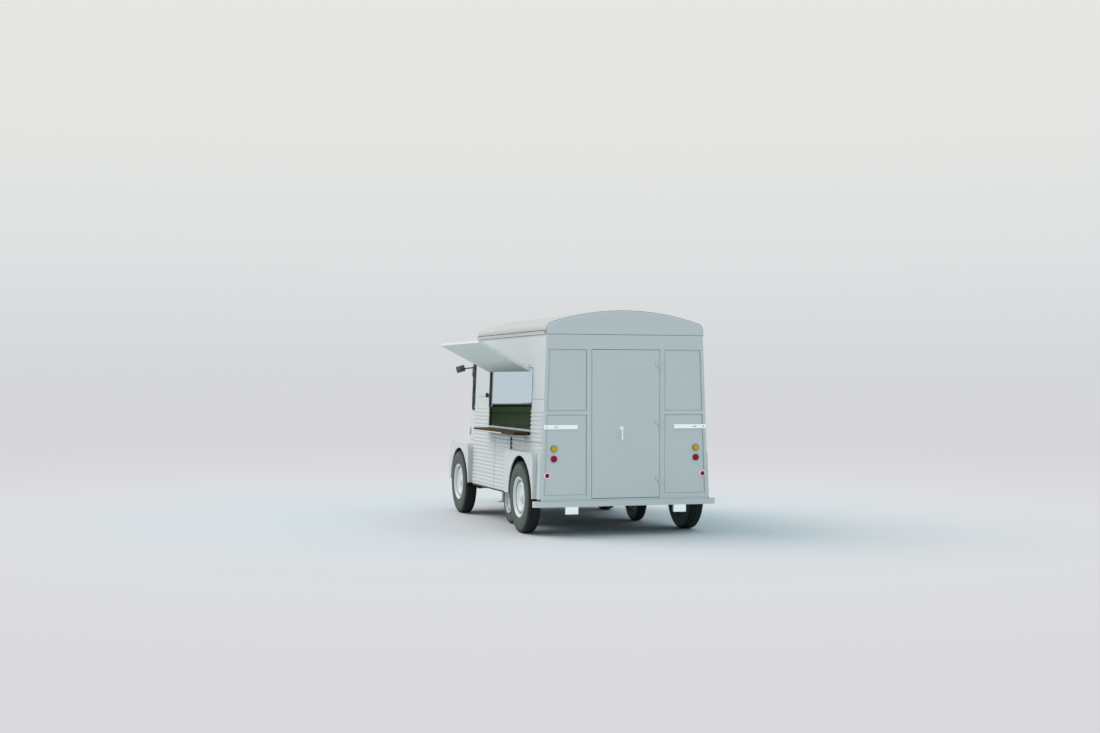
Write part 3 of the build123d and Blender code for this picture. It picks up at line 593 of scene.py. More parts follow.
def make_tyre(name):
    """Rubber ring with sidewall bead, ribs, grooves and shoulder cuts."""
    low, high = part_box(f"tyre_{name}")
    centre = (low + high) / 2
    radius = (high.z - low.z) / 2
    rim_low, rim_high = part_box(f"rim_{name}")
    bead = (rim_high.z - rim_low.z) / 2 + PROUD
    profile = tyre_profile((high.x - low.x) / 2, radius, bead)
    last = len(profile) - 1
    shoulder = {*SHOULDER_ROWS, *(last - row for row in SHOULDER_ROWS)}

    def cut(row, i):
        return SHOULDER_CUT if row in shoulder and i % CUT_PITCH == 0 else 0.0

    bm = bmesh.new()
    lathe(bm, centre, X, profile, TYRE_SEGMENTS, cut, closed=True)
    # Faces of the sidewalls take the lighter rubber, a painted light.
    for face in bm.faces:
        offset = face.calc_center_median() - centre
        reach = math.hypot(offset.y, offset.z)
        face.material_index = int(reach < mix(bead, radius, SIDEWALL_SHARE))
    wheel = f"wheel_{name}"
    tread = piece(f"tread_{name}", bm, "tyre_rubber", f"tyre_{name}", body=wheel)
    tread.data.materials.append(SIDEWALL_LIT)


def make_disc(name, centre, side, half, radius, room):
    """Pressed wheel disc: raised ring, recess, shallow dish and bead seat."""
    # Rows: depth below the outer face, share of the radius
    face = (
        (0.000, 0.985),
        (0.000, 0.940),
        (0.004, 0.905),
        (0.016, 0.880),
        (0.022, 0.855),
        (0.022, 0.820),
        (0.016, 0.790),
        (0.006, 0.755),
        (0.002, 0.720),
        (0.004, 0.680),
        (0.010, 0.640),
        (0.019, 0.570),
        (0.024, 0.480),
        (0.025, 0.380),
        (0.022, 0.300),
        (DISH_DEPTH, 0.300),
        (DISH_DEPTH, 0.820),
        (DISH_DEPTH, 0.880),
    )
    profile = [(half - depth * room, radius * share) for depth, share in face]
    # Rows: place along the axle, share of the radius
    back = ((0, 0.94), (-half, 0.93), (-half, 1), (RIM_SHEET - half, 0.985), (0, 0.96))
    profile += [(along, radius * share) for along, share in back]
    bm = bmesh.new()
    lathe(bm, centre, X * side, profile, RIM_SEGMENTS, closed=True)
    for part in bm.faces:
        offset = part.calc_center_median() - centre
        reach = math.hypot(offset.y, offset.z) / radius
        # Outer faces of the recess ring take the darker grey, a painted shade in the recess.
        recessed = RECESS_INNER < reach < RECESS_OUTER
        part.material_index = int(recessed and offset.x * side > 0)
    disc = piece(f"disc_{name}", bm, "rim_paint", f"rim_{name}", body=f"wheel_{name}")
    disc.data.materials.append(RIM_RECESS_SHADE)


def make_flange(name, centre, side, half, radius):
    """Rolled lip that stands out round the wheel's edge."""
    # Rows: distance out from the disc's face, share of the radius
    lip = (
        (-0.002, 0.990),
        (0.0045, 1.015),
        (0.009, 1.048),
        (0.013, 1.060),
        (0.016, 1.054),
        (0.017, 1.030),
        (0.015, 0.995),
        (0.010, 0.965),
        (-0.002, 0.945),
    )
    profile = [(half + out, radius * share) for out, share in lip]
    bm = bmesh.new()
    lathe(bm, centre, X * side, profile, RIM_SEGMENTS, closed=True)
    piece(f"flange_{name}", bm, "rim_paint", body=f"wheel_{name}")


def make_cap(name, centre, side, half, radius, room):
    """Hub cap with a domed middle."""
    # Rows: depth below the outer face, share of the radius
    cap = (
        (0.026, 0.310),
        (0.019, 0.305),
        (0.015, 0.280),
        (0.014, 0.230),
        (0.011, 0.205),
        (0.002, 0.185),
        (-0.003, 0.140),
        (-0.005, 0.070),
        (-0.005, 0),
    )
    profile = [(half - depth * room, radius * share) for depth, share in cap]
    bm = bmesh.new()
    lathe(bm, centre, X * side, profile, CAP_SEGMENTS)
    piece(f"cap_{name}", bm, "rim_paint", body=f"wheel_{name}")


def make_vent_hole_shade(name, centre, side, half, radius, room):
    """Dark plug in the dish, painted shade of a round hole."""
    depth, share = 0.0235, 0.42
    spoke = Y * -0.64 - Z * 0.77
    hole = centre + X * side * (half - depth * room) + spoke * radius * share
    plug = ((-0.004, 0.0095), (0, 0.0095), (0.001, 0.006), (0.001, 0))
    bm = bmesh.new()
    lathe(bm, hole, X * side, plug, 20)
    piece(f"vent_hole_shade_{name}", bm, "mirror_black", body=f"wheel_{name}", material=SEAL)


def make_wheels():
    """Tyre, disc, flange, cap and hole of each wheel."""
    for body in frame["bodies"]:
        if not body.startswith("wheel_"):
            continue
        name = body.removeprefix("wheel_")
        side = -1 if name.endswith("left") else 1
        low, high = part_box(f"rim_{name}")
        centre = (low + high) / 2
        radius = (high.z - low.z) / 2
        half = (high.x - low.x) / 2
        room = min(1.0, (half - RIM_SHEET) / DISH_DEPTH)
        make_tyre(name)
        make_disc(name, centre, side, half, radius, room)
        make_flange(name, centre, side, half, radius)
        make_cap(name, centre, side, half, radius, room)
        make_vent_hole_shade(name, centre, side, half, radius, room)


# Body sides
def rib_outline(low, high):
    """(height, stand) pairs of the ribbed wall between two heights."""
    pairs = [(low, 0.0)]
    for i in range(RIB_COUNT):
        crest = RIB_FIRST + RIB_PITCH * i
        for offset, out in (
            (-RIB_BASE / 2, 0),
            (-RIB_CREST / 2, RIB_STAND),
            (RIB_CREST / 2, RIB_STAND),
            (RIB_BASE / 2, 0),
        ):
            if low < crest + offset < high:
                pairs.append((crest + offset, out))
    pairs.append((high, 0.0))
    return pairs


def make_gutter_lines():
    """Painted gutter face, with a wide painted shadow line above it and a fine one below."""
    # Rows: name, middle height, height, start and stand past the face, material
    for name, z, tall, start, stand, material in (
        ("gutter_faces", 2.0615, 0.030, 0.0, 0.0010, None),
        # The dark lines above and below the gutter are painted shadow in its gaps.
        ("gutter_top_shadow", 2.0815, 0.008, 0.0, 0.0020, SEAL),
        ("gutter_under_shadow", 2.0440, 0.002, 0.0015, 0.0016, GROOVE),
    ):
        bm = bmesh.new()
        for side in SIDES:
            x = side * (GUTTER_FACE + start)
            ends = (at(x, GUTTER_REAR, z), at(x, GUTTER_FRONT, z))
            band(bm, ends, Z * tall, X * side * stand)
        piece(name, bm, "body_paint", material=material)


def make_side_joints():
    """Pressed grooves and panel joints of the left and right walls."""
    bm = bmesh.new()
    lift, stand = 0.0003, 0.0008
    groove, seam, margin = 0.004, 0.006, 0.004
    seam_y = 1.746
    low, high = SILL_Z + margin, OPENING_LOW - margin
    for side in SIDES:
        # Rows: height, rear end, front end
        for z, rear, front in (
            (1.390, 0.012, 0.415),
            (1.390, 2.056, 2.530),
            (0.950, 0.012, 1.050),
        ):
            wall_strip(bm, side, (rear, z), (front, z), Z * groove, stand, lift)
        outline = rib_outline(low, high)
        points = [wall(side, seam_y, z, lift + out) for z, out in outline]
        band(bm, points, Y * seam, X * side * stand)
    piece("panel_joints", bm, "body_paint", material=GROOVE)


def make_opening_rubber_and_jamb_shade():
    """Black rubber round the serving opening, and black strips on and inside its front jamb as
    painted shade.
    """
    bm = bmesh.new()
    gap, width, stand, sill_rise = 0.004, 0.005, 0.002, 0.016
    low, high = OPENING_LOW + sill_rise, OPENING_HIGH
    for y in (OPENING_REAR - gap, OPENING_FRONT + gap):
        wall_strip(bm, -1, (y, low), (y, high), Y * width, stand, PROUD)
    rear_top, front_top = ((y, high + gap) for y in (OPENING_REAR, OPENING_FRONT))
    wall_strip(bm, -1, rear_top, front_top, Z * width, stand, PROUD)
    # Painted shade: a black strip on the wall at the front jamb and black sheets inside the jamb,
    # where it falls dark.
    y, low_post, high_post = OPENING_FRONT + 0.010, 1.270, 1.700
    width, stand = 0.012, 0.006
    wall_strip(bm, -1, (y, low_post), (y, high_post), Y * width, stand, PROUD)
    inset = 0.001
    y, step_z, thin = OPENING_FRONT - inset, 1.280, 0.002
    # Rows: foot, head, depth
    for foot, head, depth in ((low, step_z, 0.030), (step_z, high - 0.030, 0.015)):
        wall_strip(bm, -1, (y, foot), (y, head), Y * thin, depth, -depth - inset)
    piece("opening_rubber_and_jamb_shade", bm, "mirror_black", material=SEAL)


def make_brackets():
    """Shelf brackets: a slim wall leg, an arm under the shelf, a curved web."""
    low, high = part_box("shelf_brackets")
    width, sheet, web = 0.040, 0.006, 0.034
    leg_width, leg_sheet = 0.012, 0.003
    first, last = low.y + width / 2, high.y - width / 2
    root = high.x - WALL_LEAN * (high.z - low.z)
    reach = root - low.x
    steps = 8
    arm = [(root, high.z), (low.x, high.z), (low.x, high.z - sheet)]
    for i in range(steps + 1):
        turn = math.radians(90 * i / steps)
        across = (reach - sheet) * (1 - math.sin(turn))
        down = web * (1 - math.cos(turn))
        arm.append((root - sheet - across, high.z - sheet - down))
    arm.append((root, high.z - sheet - web))
    bm = bmesh.new()
    for y in (first, (first + last) / 2, last):
        edges = (y - width / 2, y + width / 2)
        prism(bm, [[(x, edge, z) for x, z in arm] for edge in edges])
        ends = (Vector((root, y, high.z - sheet)), Vector((high.x, y, low.z)))
        band(bm, ends, Y * leg_width, X * -leg_sheet)
    piece("bracket_arms", bm, "body_paint", "shelf_brackets")


def make_corner_strips():
    """Smooth strips over the ribs between the rear fenders and the corners."""
    bm = bmesh.new()
    y, top, width, lift = 0.070, 0.845, 0.116, -0.002
    stand = RIB_STAND + 0.003
    for side in SIDES:
        wall_strip(bm, side, (y, SILL_Z), (y, top), Y * width, stand, lift)
    piece("corner_strips", bm, "body_paint")


def make_arch_liners():
    """Dark liners inside the wheel arches: painted shade over their insides."""
    bm = bmesh.new()
    inner, outer, sheet = 0.775, 0.940, 0.0015
    first, sweep, steps = -6, 192, 24
    for side in SIDES:
        for y, radius in ((REAR_WHEEL_Y, 0.428), (FRONT_WHEEL_Y, 0.400)):
            rings = []
            for i in range(steps + 1):
                turn = math.radians(first + sweep * i / steps)
                spoke = Vector((0, math.cos(turn), math.sin(turn)))
                near, far = (
                    at(side * x, y, WHEEL_Z) + spoke * radius for x in (inner, outer)
                )
                lift = spoke * sheet
                rings.append((near, far, far + lift, near + lift))
            prism(bm, rings)
    piece("arch_liners", bm, "floor_board", material=ARCH_SHADE_DARK)


def make_hatch_trim():
    """Trim along the side edges and the lower edge of the hatch."""
    bm = bmesh.new()
    low, high = OPENING_LOW + 0.020, OPENING_HIGH - 0.012
    inset, thin, deep = 0.0045, 0.001, 0.027
    for y in (OPENING_REAR + inset, OPENING_FRONT - inset):
        rings = []
        for z in (low, high):
            outer = half_width(z) + PROUD
            inner = outer - deep
            corners = ((outer, -thin), (outer, thin), (inner, thin), (inner, -thin))
            rings.append([on_hatch(-x, y + offset, z) for x, offset in corners])
        prism(bm, rings)
    tip, inset, thin, deep = OPENING_LOW + 0.0195, 0.005, 0.0008, 0.0265
    outer = half_width(tip)
    inner = outer - deep
    corners = ((outer, -thin), (inner, -thin), (inner, thin), (outer, thin))
    rings = []
    for y in (OPENING_REAR + inset, OPENING_FRONT - inset):
        rings.append([on_hatch(-x, y, tip + offset) for x, offset in corners])
    prism(bm, rings)
    piece("hatch_trim", bm, "body_paint", body="hatch", material=EDGE_TRIM)


def make_shelf_edge_highlight():
    """Painted highlight: a pale strip along the front part of the shelf's outer edge, where light
    catches it.
    """
    low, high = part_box("serving_shelf")
    # The rear share is left without the strip, where the edge lies in shade.
    shaded_share, margin, rise = 0.3, 0.012, 0.008
    width, stand = 0.013, 0.0012
    x, z = low.x + PROUD, low.z + rise
    rear, front = mix(low.y, high.y, shaded_share), high.y - margin
    bm = bmesh.new()
    band(bm, (Vector((x, rear, z)), Vector((x, front, z))), Z * width, X * -stand)
    piece("shelf_edge_highlight", bm, "shelf_wood", material=SHELF_EDGE_HIGHLIGHT)


def make_side_fittings():
    """Black slot and round catch knob on the left wall."""
    bm = bmesh.new()
    slot_y, slot_low, slot_high, slot_width = 1.100, 0.840, 0.975, 0.022
    stand, lift = RIB_STAND + 0.009, -0.002
    wall_strip(bm, -1, (slot_y, slot_low), (slot_y, slot_high), Y * slot_width, stand, lift)
    # Rows: distance out, radius
    knob = (
        (0, 0.018),
        (0.007, 0.017),
        (0.012, 0.026),
        (0.019, 0.029),
        (0.026, 0.026),
        (0.030, 0.016),
        (0.031, 0),
    )
    knob_y, knob_z = 2.125, 1.410
    lathe(bm, wall(-1, knob_y, knob_z), -X, knob, 32)
    piece("side_fittings", bm, "mirror_black", material=SEAL)


# Rear
def make_roof_joint():
    """Line across the rear face at the foot of the arch."""
    half, y = 0.846, -0.0003
    width, stand = 0.004, 0.0008
    bm = bmesh.new()
    ends = (at(-half, y, GUTTER_LOW), at(half, y, GUTTER_LOW))
    band(bm, ends, Z * width, Y * -stand)
    piece("rear_joint", bm, "body_paint", material=GROOVE)


def make_rear_sealant_and_panel_shade():
    """Soft lines beside the rear door, and lines of painted shade round the sunk panels."""
    bm = bmesh.new()
    y, top, radius = 0.004, DOOR_HIGH - 0.003, 0.0016
    for side in SIDES:
        ends = (at(side * DOOR_GAP_X, y, DOOR_LOW), at(side * DOOR_GAP_X, y, top))
        tube(bm, ends, radius, Y)
    # Painted shade: grey lines on the sunk faces along each panel's edges, where its frame shades
    # the recess.
    y, half_line, flat = 0.0082, PANEL_SHADE_LINE / 2, 0.25
    inner = PANEL_INNER + half_line
    for low, high in PANEL_ROWS:
        low += half_line
        high -= half_line
        foot, head = (half_width(z) - PANEL_FRAME - half_line for z in (low, high))
        for side in SIDES:
            corners = ((inner, low), (foot, low), (head, high), (inner, high))
            points = [at(side * x, y, z) for x, z in corners]
            tube(bm, points, half_line, Y, closed=True, flat=flat)
    piece("rear_sealant_and_panel_shade", bm, "body_paint", material=SEALANT_AND_SHADE_GREY)


def make_door_seal():
    """Dark rubber in the gap above the rear door."""
    y, z, radius = 0.003, DOOR_HIGH + 0.001, 0.0018
    bm = bmesh.new()
    tube(bm, (at(-DOOR_GAP_X, y, z), at(DOOR_GAP_X, y, z)), radius, Y)
    piece("door_seal", bm, "mirror_black", material=SEAL)


def make_sill_cover():
    """Painted strip along the foot of the rear face."""
    half, z, tall, stand = 0.905, 0.376, 0.017, 0.0015
    bm = bmesh.new()
    band(bm, (at(-half, 0, z), at(half, 0, z)), Z * tall, Y * -stand)
    piece("sill_cover", bm, "body_paint")


def make_roof_cap():
    """Small round cap in the middle of the rear arch."""
    sunk, z = 0.001, 2.190
    dome = ((0, 0.012), (0.003, 0.011), (0.005, 0))
    bm = bmesh.new()
    lathe(bm, at(0, sunk, z), -Y, dome, 24)
    piece("roof_cap", bm, "body_paint", material=EDGE_TRIM)


def make_arch_line():
    """Painted shadow line round the rear arch, on its rounded edge."""
    node = frame["nodes"]["rear_frame"]
    slack, sunk, radius = 0.0012, -0.0007, 0.0030
    rim = set()
    for vert in node.data.vertices:
        point = node.matrix_world @ vert.co - ORIGIN
        if abs(point.y - ARCH_EDGE) < slack and point.z > GUTTER_HIGH:
            rim.add((round(point.x, 4), round(point.z, 4)))
    left_end, right_end = (wall(side, ARCH_EDGE, GUTTER_LOW, sunk) for side in SIDES)
    points = [left_end, *(at(x, ARCH_EDGE, z) for x, z in sorted(rim)), right_end]
    bm = bmesh.new()
    tube(bm, points, radius, Y)
    piece("arch_line", bm, "body_paint", material=GROOVE)


def round_lamp(lens_bm, rim_bm, x, z, radius, share=0.90):
    """Domed lens with moulded rings, which takes a share of its collar's radius."""
    centre = at(x, 0, z)
    inner = radius * share
    # Rows: distance out, radius
    lens = (
        (-0.006, inner),
        (0.006, inner),
        (0.0075, inner * 0.84),
        (0.0095, inner * 0.80),
        (0.010, inner * 0.58),
        (0.0125, inner * 0.54),
        (0.013, inner * 0.28),
        (0.0138, 0),
    )
    lathe(lens_bm, centre, -Y, lens, 40)
    collar = (
        (-0.007, inner * 1.01),
        (-0.007, radius),
        (0.004, radius),
        (0.007, radius * 0.97),
        (0.007, inner * 1.01),
    )
    lathe(rim_bm, centre, -Y, collar, 40, closed=True)


def make_rear_lamps():
    """Amber and red lamps, and reflectors on white plates."""
    amber, red, dark, light = (bmesh.new() for _ in range(4))
    # Rows: distance out, radius
    plate = ((0.0005, 0.0305), (0.003, 0.0305), (0.0045, 0.029), (0.0045, 0.0258))
    for side in SIDES:
        round_lamp(amber, dark, side * LAMP_X, AMBER_Z, LAMP_R)
        round_lamp(red, dark, side * LAMP_X, RED_Z, LAMP_R)
        round_lamp(red, light, side * REFLECTOR_X, REFLECTOR_Z, REFLECTOR_R, 0.93)
        lathe(light, at(side * REFLECTOR_X, 0, REFLECTOR_Z), -Y, plate, 32)
    piece("amber_domes", amber, "amber_lens", "amber_lamps")
    piece("red_domes", red, "red_lens", "red_lamps")
    piece("lamp_collars", dark, "mirror_black")
    piece("reflector_rims", light, "white_trim")


def make_bar_screws():
    """Screw heads on the white bars."""
    bm = bmesh.new()
    places, y, z = (0.847, 0.757, 0.737), -0.0098, 1.111
    radius, height = 0.0055, 0.0025
    for side in SIDES:
        for x in places:
            bolt(bm, at(side * x, y, z), -Y, radius, height, 12)
    piece("bar_screws", bm, "mirror_black", material=FIXING)


def make_lamp_lenses():
    """Upright facets on the two lamps below the bumper."""
    bm = bmesh.new()
    box_x, box_half, facets, facet_half = 0.583, 0.055, 6, 0.0085
    front, back, low_z, high_z, bevel = -0.0262, -0.0225, 0.247, 0.297, 0.0012
    pitch = 2 * box_half / facets
    for side in SIDES:
        for i in range(facets):
            x = side * box_x - box_half + pitch * (i + 0.5)
            low = at(x - facet_half, front, low_z)
            block(bm, low, at(x + facet_half, back, high_z), bevel)
    piece("lamp_box_lenses", bm, "white_trim")


def make_door_handle():
    """Round rose, neck and drooping lever."""
    bm = bmesh.new()
    low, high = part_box("door_handle")
    rose_r = 0.020
    centre = Vector((low.x + rose_r, high.y, high.z - rose_r))
    # Rows: distance out, radius
    rose = (
        (-0.004, rose_r),
        (0.003, rose_r),
        (0.006, 0.017),
        (0.007, 0.010),
        (0.010, 0.008),
        (0.026, 0.008),
        (0.030, 0.010),
        (0.036, 0.010),
        (0.038, 0.006),
    )
    lathe(bm, centre, -Y, rose, 32)
    out, rise, drop, sag, steps = 0.031, 0.004, 0.121, 0.006, 10
    radius, flat = 0.0085, 0.55
    lever = []
    for i in range(steps + 1):
        share = i / steps
        dip = sag * math.sin(math.pi * share)
        lever.append(centre + Vector((0, dip - out, rise - share * drop)))
    tube(bm, lever, radius, Y, segments=14, flat=flat)
    piece("door_lever", bm, "handle_chrome", "door_handle", body="rear_door")


# Cab and nose
def make_cab_seals():
    """Window rubbers of the cab doors and the windscreen."""
    door_r, screen_r, sunk, flat = 0.0065, 0.0085, -0.001, 0.6
    for side, word in NAMED_SIDES:
        bm = bmesh.new()
        loop = rounded(*WINDOW_Y, *WINDOW_Z, WINDOW_R)
        points = [cab_wall(side, y, z, sunk) for y, z in loop]
        tube(bm, points, door_r, X * side, closed=True, flat=flat)
        name = f"window_rubber_{word}"
        piece(name, bm, "mirror_black", body=f"cab_door_{word}", material=SEAL)
    bm = bmesh.new()
    loop = rounded(-SCREEN_HALF, SCREEN_HALF, *SCREEN_Z, SCREEN_R)
    points = [at(x, CAB_FRONT, z) for x, z in loop]
    tube(bm, points, screen_r, Y, closed=True, flat=flat)
    piece("screen_rubber", bm, "mirror_black", material=SEAL)


def make_cab_handles():
    """Upright grab handles at the rear edges of the cab doors."""
    y, low, high, radius = 2.775, 1.430, 1.520, 0.0065
    stand, knee, sunk = 0.024, 0.0192, -0.001
    # Rows: height, distance out
    bend = (
        (low, sunk),
        (low + 0.004, knee),
        (low + 0.016, stand),
        (high - 0.016, stand),
        (high - 0.004, knee),
        (high, sunk),
    )
    foot = ((-0.001, 0.011), (0.003, 0.010), (0.004, 0.006))
    for side, word in NAMED_SIDES:
        bm = bmesh.new()
        points = [cab_wall(side, y, z, out) for z, out in bend]
        tube(bm, points, radius, Y, segments=12)
        for z in (low, high):
            lathe(bm, cab_wall(side, y, z), X * side, foot, 20)
        name = f"grab_handle_{word}"
        piece(name, bm, "mirror_black", body=f"cab_door_{word}", material=SEAL)


def make_wipers():
    """Two wipers parked across the foot of the windscreen."""
    bm = bmesh.new()
    post_y, y, pivot_z = CAB_FRONT - 0.004, CAB_FRONT + 0.010, 1.215
    arm_r, blade_r, blade_flat = 0.0035, 0.0045, 1.3
    post = ((0, 0.013), (0.012, 0.012), (0.018, 0.007))
    # Rows: distance right of the pivot, height
    arm = ((0, pivot_z), (0.230, 1.300))
    blade = ((0.060, 1.275), (0.390, 1.305))
    for x in (-0.300, 0.280):
        lathe(bm, at(x, post_y, pivot_z), Y, post, 20)
        tube(bm, [at(x + right, y, z) for right, z in arm], arm_r, Y)
        tube(bm, [at(x + right, y, z) for right, z in blade], blade_r, Y, flat=blade_flat)
    piece("wipers", bm, "mirror_black", material=SEAL)


def mirror_arm(bm, start, end, side):
    """Bent arm with a round foot, from a door to the middle of its mirror."""
    radius, bulge, steps = 0.0075, 0.018, 8
    foot_r, foot_height, sunk = 0.016, 0.008, 0.002
    points = []
    for i in range(steps + 1):
        share = i / steps
        points.append(start.lerp(end, share) + Y * bulge * math.sin(math.pi * share))
    tube(bm, points, radius, Z, segments=12)
    bolt(bm, start - X * side * sunk, X * side, foot_r, foot_height, 20)


def make_mirrors():
    """Door mirrors: padded shells with inset glass on bent arms."""
    shell, shell_bevel = Vector((0.0525, 0.013, 0.038)), 0.009
    glass, glass_bevel = Vector((0.0465, 0.0012, 0.032)), 0.001
    shell_in, shell_ahead, glass_back = 0.065, 0.014, 0.0135
    arm_back, arm_rise, lean = 0.010, 0.016, math.radians(17)
    for side, word in NAMED_SIDES:
        low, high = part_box(f"mirror_{word}")
        outer, root = (low.x, high.x) if side < 0 else (high.x, low.x)
        z = (low.z + high.z) / 2
        centre = Vector((outer - side * shell_in, low.y + shell_ahead, z))
        tilt = Matrix.Rotation(lean * side, 3, "Y")
        body = body_of_node(f"mirror_{word}")
        bm = bmesh.new()
        block(bm, centre - shell, centre + shell, shell_bevel)
        bmesh.ops.rotate(bm, cent=centre, matrix=tilt, verts=bm.verts)
        mirror_arm(bm, Vector((root, high.y - arm_back, z + arm_rise)), centre, side)
        piece(f"mirror_shell_{word}", bm, "mirror_black", f"mirror_{word}", body=body)
        bm = bmesh.new()
        front = centre - Y * glass_back
        block(bm, front - glass, front + glass, glass_bevel)
        bmesh.ops.rotate(bm, cent=centre, matrix=tilt, verts=bm.verts)
        name = f"mirror_pane_{word}"
        piece(name, bm, "handle_chrome", body=body, material=MIRROR_GLASS)


def body_of_node(node):
    """Name of the body that a CAD node rides on."""
    for body, members in frame["record"]["behaviour"]["bodies"].items():
        if node in members:
            return body
    return "trailer"


def make_headlamps():
    """Chrome bowls with a bezel and domed glass."""
    low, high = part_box("headlamps")
    radius = (high.z - low.z) / 2
    depth = high.y - low.y
    # Rows: share of the depth, share of the radius
    shell = (
        (0.00, 0.80),
        (0.25, 0.90),
        (0.50, 0.95),
        (0.62, 0.95),
        (0.66, 1.00),
        (0.80, 1.00),
        (0.86, 0.96),
        (0.86, 0.88),
        (0.70, 0.84),
        (0.40, 0.55),
        (0.30, 0.20),
        (0.30, 0.00),
    )
    lens = ((0.78, 0.88), (0.86, 0.87), (0.93, 0.66), (0.98, 0.36), (1.00, 0.00))
    bowl, glass = bmesh.new(), bmesh.new()
    for side in SIDES:
        x = ORIGIN.x + side * ((high.x - low.x) / 2 - radius)
        base = Vector((x, low.y, (low.z + high.z) / 2))
        for bm, rows in ((bowl, shell), (glass, lens)):
            profile = [(depth * along, radius * share) for along, share in rows]
            lathe(bm, base, Y, profile, 56)
    piece("headlamp_bowls", bowl, "headlamp", "headlamps")
    piece("headlamp_glass", glass, "clear_glass")


def make_nose_trim():
    """Joint lines on both sides of the bonnet's top."""
    x, rear, front, z = 0.255, 3.430, 3.560, 1.1655
    width, stand = 0.004, 0.0012
    bm = bmesh.new()
    for side in SIDES:
        ends = (at(side * x, rear, z), at(side * x, front, z))
        band(bm, ends, X * width, Z * stand)
    piece("bonnet_joints", bm, "body_paint", material=GROOVE)


# Inside
def cabinet_door(bm, left, right, y, low, high):
    """Door with a raised line round its panel."""
    gap, stand, sunk, bevel = 0.008, 0.008, 0.002, 0.003
    corner = Vector((left + gap, y - stand, low))
    block(bm, corner, Vector((right - gap, y + sunk, high)), bevel)
    inset, rise, radius, flat = 0.055, 0.050, 0.006, 0.7
    left, right, low, high = left + inset, right - inset, low + rise, high - rise
    corners = ((left, low), (left, high), (right, high), (right, low))
    loop = [Vector((x, y - stand, z)) for x, z in corners]
    tube(bm, loop, radius, Y, closed=True, flat=flat)


def make_cabinet_fronts():
    """Panelled doors, top rail and knobs on the cabinet's rear face."""
    low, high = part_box("cabinet")
    count = 4
    width = (high.x - low.x) / count
    bottom, top = low.z + 0.060, high.z - 0.165
    knob_in, knob_drop, knob_out = 0.035, 0.090, 0.006
    # Rows: distance out, radius
    turning = ((0, 0.006), (0.010, 0.006), (0.016, 0.013), (0.024, 0.011), (0.027, 0))
    doors, rails, knobs = (bmesh.new() for _ in range(3))
    for i in range(count):
        left = low.x + width * i
        right = left + width
        cabinet_door(doors, left, right, low.y, bottom, top)
        x = right - knob_in if i % 2 == 0 else left + knob_in
        lathe(knobs, Vector((x, low.y - knob_out, top - knob_drop)), -Y, turning, 20)
    stand, sunk, drop, tall, bevel = 0.006, 0.002, 0.002, 0.078, 0.002
    head = high.z - drop
    corner = Vector((low.x, low.y - stand, head - tall))
    block(rails, corner, Vector((high.x, low.y + sunk, head)), bevel)
    piece("cabinet_doors", doors, "cabinet_green")
    piece("cabinet_rail", rails, "cabinet_green", material=RAIL_GREEN)
    piece("cabinet_knobs", knobs, "mirror_black", material=SEAL)


# Drawbar
def make_drawbar_bolts():
    """Four bolt heads on the drawbar's top, round the jack."""
    x, places, radius, height = 0.055, (4.520, 4.600), 0.009, 0.007
    bm = bmesh.new()
    for side in SIDES:
        for y in places:
            bolt(bm, at(side * x, y, FLOOR_Z), Z, radius, height)
    piece("drawbar_bolts", bm, "coupling_steel")


# Stage
def make_ground():
    """Pale ground whose tone changes with the distance from the frame's origin; the bluer tone
    nearest the trailer is painted shade.
    """
    size, ahead = 240, 60
    bpy.ops.mesh.primitive_plane_add(size=size, location=(0, ahead, 0))
    ground = bpy.context.object
    ground.name = "ground"
    pale = finish("ground_pale", (0.63, 0.58, 0.595), 0.9, scale=0.3, bump=0.02, shine=0)
    tree = pale.node_tree
    farthest = 20.0
    # Rows: share of the farthest distance, linear colour
    # The bluer first stop paints the blue cast of the shade round the trailer.
    stops = (
        (0.12, (0.600, 0.622, 0.650)),
        (0.34, (0.630, 0.590, 0.602)),
        (0.50, (0.615, 0.570, 0.585)),
        (1.00, (0.590, 0.548, 0.572)),
    )
    tones = add_ramp(tree, stops)
    place = add_node(tree, "NewGeometry")
    reach = add_node(tree, "VectorMath")
    reach.operation = "LENGTH"
    share = add_node(tree, "MapRange", From_Max=farthest)
    link(place, "Position", reach, 0)
    link(reach, "Value", share, "Value")
    link(share, "Result", tones, "Fac")
    link(tones, "Color", tree.nodes["Principled BSDF"], "Base Color")
    ground.data.materials.append(pale)


def make_sky():
    """Even light from all round; the camera and mirrors see a pale graded sky."""
    world = bpy.data.worlds.new("sky")
    world.use_nodes = True
    bpy.context.scene.world = world
    tree = world.node_tree
    light = tree.nodes["Background"]
    set_sockets(light, Color=(0.74, 0.92, 0.955, 1), Strength=1.0)
    # Rows: height on the sky, display colour
    stops = (
        (0.00, (213, 215, 219)),
        (0.03, (216, 218, 220)),
        (0.08, (222, 225, 225)),
        (0.16, (229, 230, 227)),
        (0.24, (230, 231, 225)),
    )
    tones = add_ramp(tree, [(height, srgb(*tone)) for height, tone in stops])
    place = add_node(tree, "TexCoord")
    axes = add_node(tree, "SeparateXYZ")
    seen = add_node(tree, "Background")
    link(place, "Generated", axes, "Vector")
    link(axes, "Z", tones, "Fac")
    link(tones, "Color", seen, "Color")
    path = add_node(tree, "LightPath")
    straight, shown = (add_math(tree, "MAXIMUM") for _ in range(2))
    link(path, "Is Camera Ray", straight, 0)
    link(path, "Is Transmission Ray", straight, 1)
    link(straight, "Value", shown, 0)
    link(path, "Is Glossy Ray", shown, 1)
    pick = add_node(tree, "MixShader")
    link(shown, "Value", pick, "Fac")
    link(light, "Background", pick, 1)
    link(seen, "Background", pick, 2)
    link(pick, "Shader", tree.nodes["World Output"], "Surface")


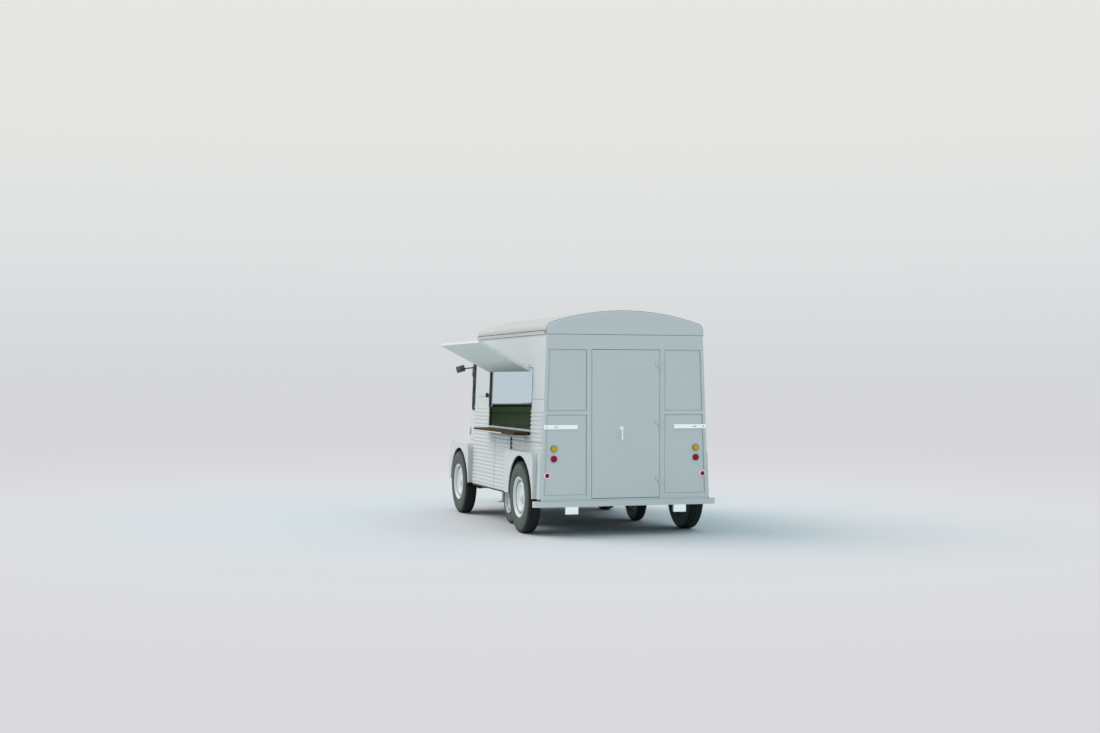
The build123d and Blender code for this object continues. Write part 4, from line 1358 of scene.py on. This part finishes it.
def make_sun():
    """Soft light from the left, ahead and above."""
    sun = bpy.data.lights.new("sun", "SUN")
    sun.energy = 1.78
    sun.color = (1.0, 0.78, 0.71)
    sun.angle = math.radians(45)
    direction = Vector((1.1, -0.8, -1.35))
    lamp = bpy.data.objects.new("sun", sun)
    lamp.rotation_mode = "QUATERNION"
    lamp.rotation_quaternion = direction.to_track_quat("-Z", "Y")
    bpy.context.scene.collection.objects.link(lamp)


def make_inner_lamp():
    """Soft strip lamp under the roof of the serving room."""
    strip = bpy.data.lights.new("inner_strip", "AREA")
    strip.shape = "RECTANGLE"
    strip.size, strip.size_y = 0.5, 2.2
    strip.energy = 9
    lamp = bpy.data.objects.new("inner_strip", strip)
    lamp.location = at(0.10, 1.40, 2.02)
    bpy.context.scene.collection.objects.link(lamp)


def make_camera():
    """Camera behind the trailer and to its left, level, with a small shift."""
    data = bpy.data.cameras.new("camera")
    data.sensor_width = SENSOR_WIDTH
    data.lens = SENSOR_WIDTH * FOCAL_PIXELS / PICTURE_WIDTH
    data.shift_y = HORIZON_DROP / PICTURE_WIDTH
    camera = bpy.data.objects.new("camera", data)
    camera.location = at(*CAMERA_PLACE)
    turns = (90, -CAMERA_ROLL, -CAMERA_YAW)
    camera.rotation_euler = [math.radians(turn) for turn in turns]
    bpy.context.scene.collection.objects.link(camera)
    bpy.context.scene.camera = camera


dress_nodes()
paint_hatch()
make_wheels()
make_gutter_lines()
make_side_joints()
make_opening_rubber_and_jamb_shade()
make_brackets()
make_corner_strips()
make_arch_liners()
make_hatch_trim()
make_shelf_edge_highlight()
make_side_fittings()
make_roof_joint()
make_rear_sealant_and_panel_shade()
make_door_seal()
make_sill_cover()
make_roof_cap()
make_arch_line()
make_rear_lamps()
make_bar_screws()
make_lamp_lenses()
make_door_handle()
make_cab_seals()
make_cab_handles()
make_wipers()
make_mirrors()
make_headlamps()
make_nose_trim()
make_cabinet_fronts()
make_drawbar_bolts()
make_ground()
make_sky()
make_sun()
make_inner_lamp()
make_camera()
bpy.context.scene.view_settings.view_transform = "Standard"
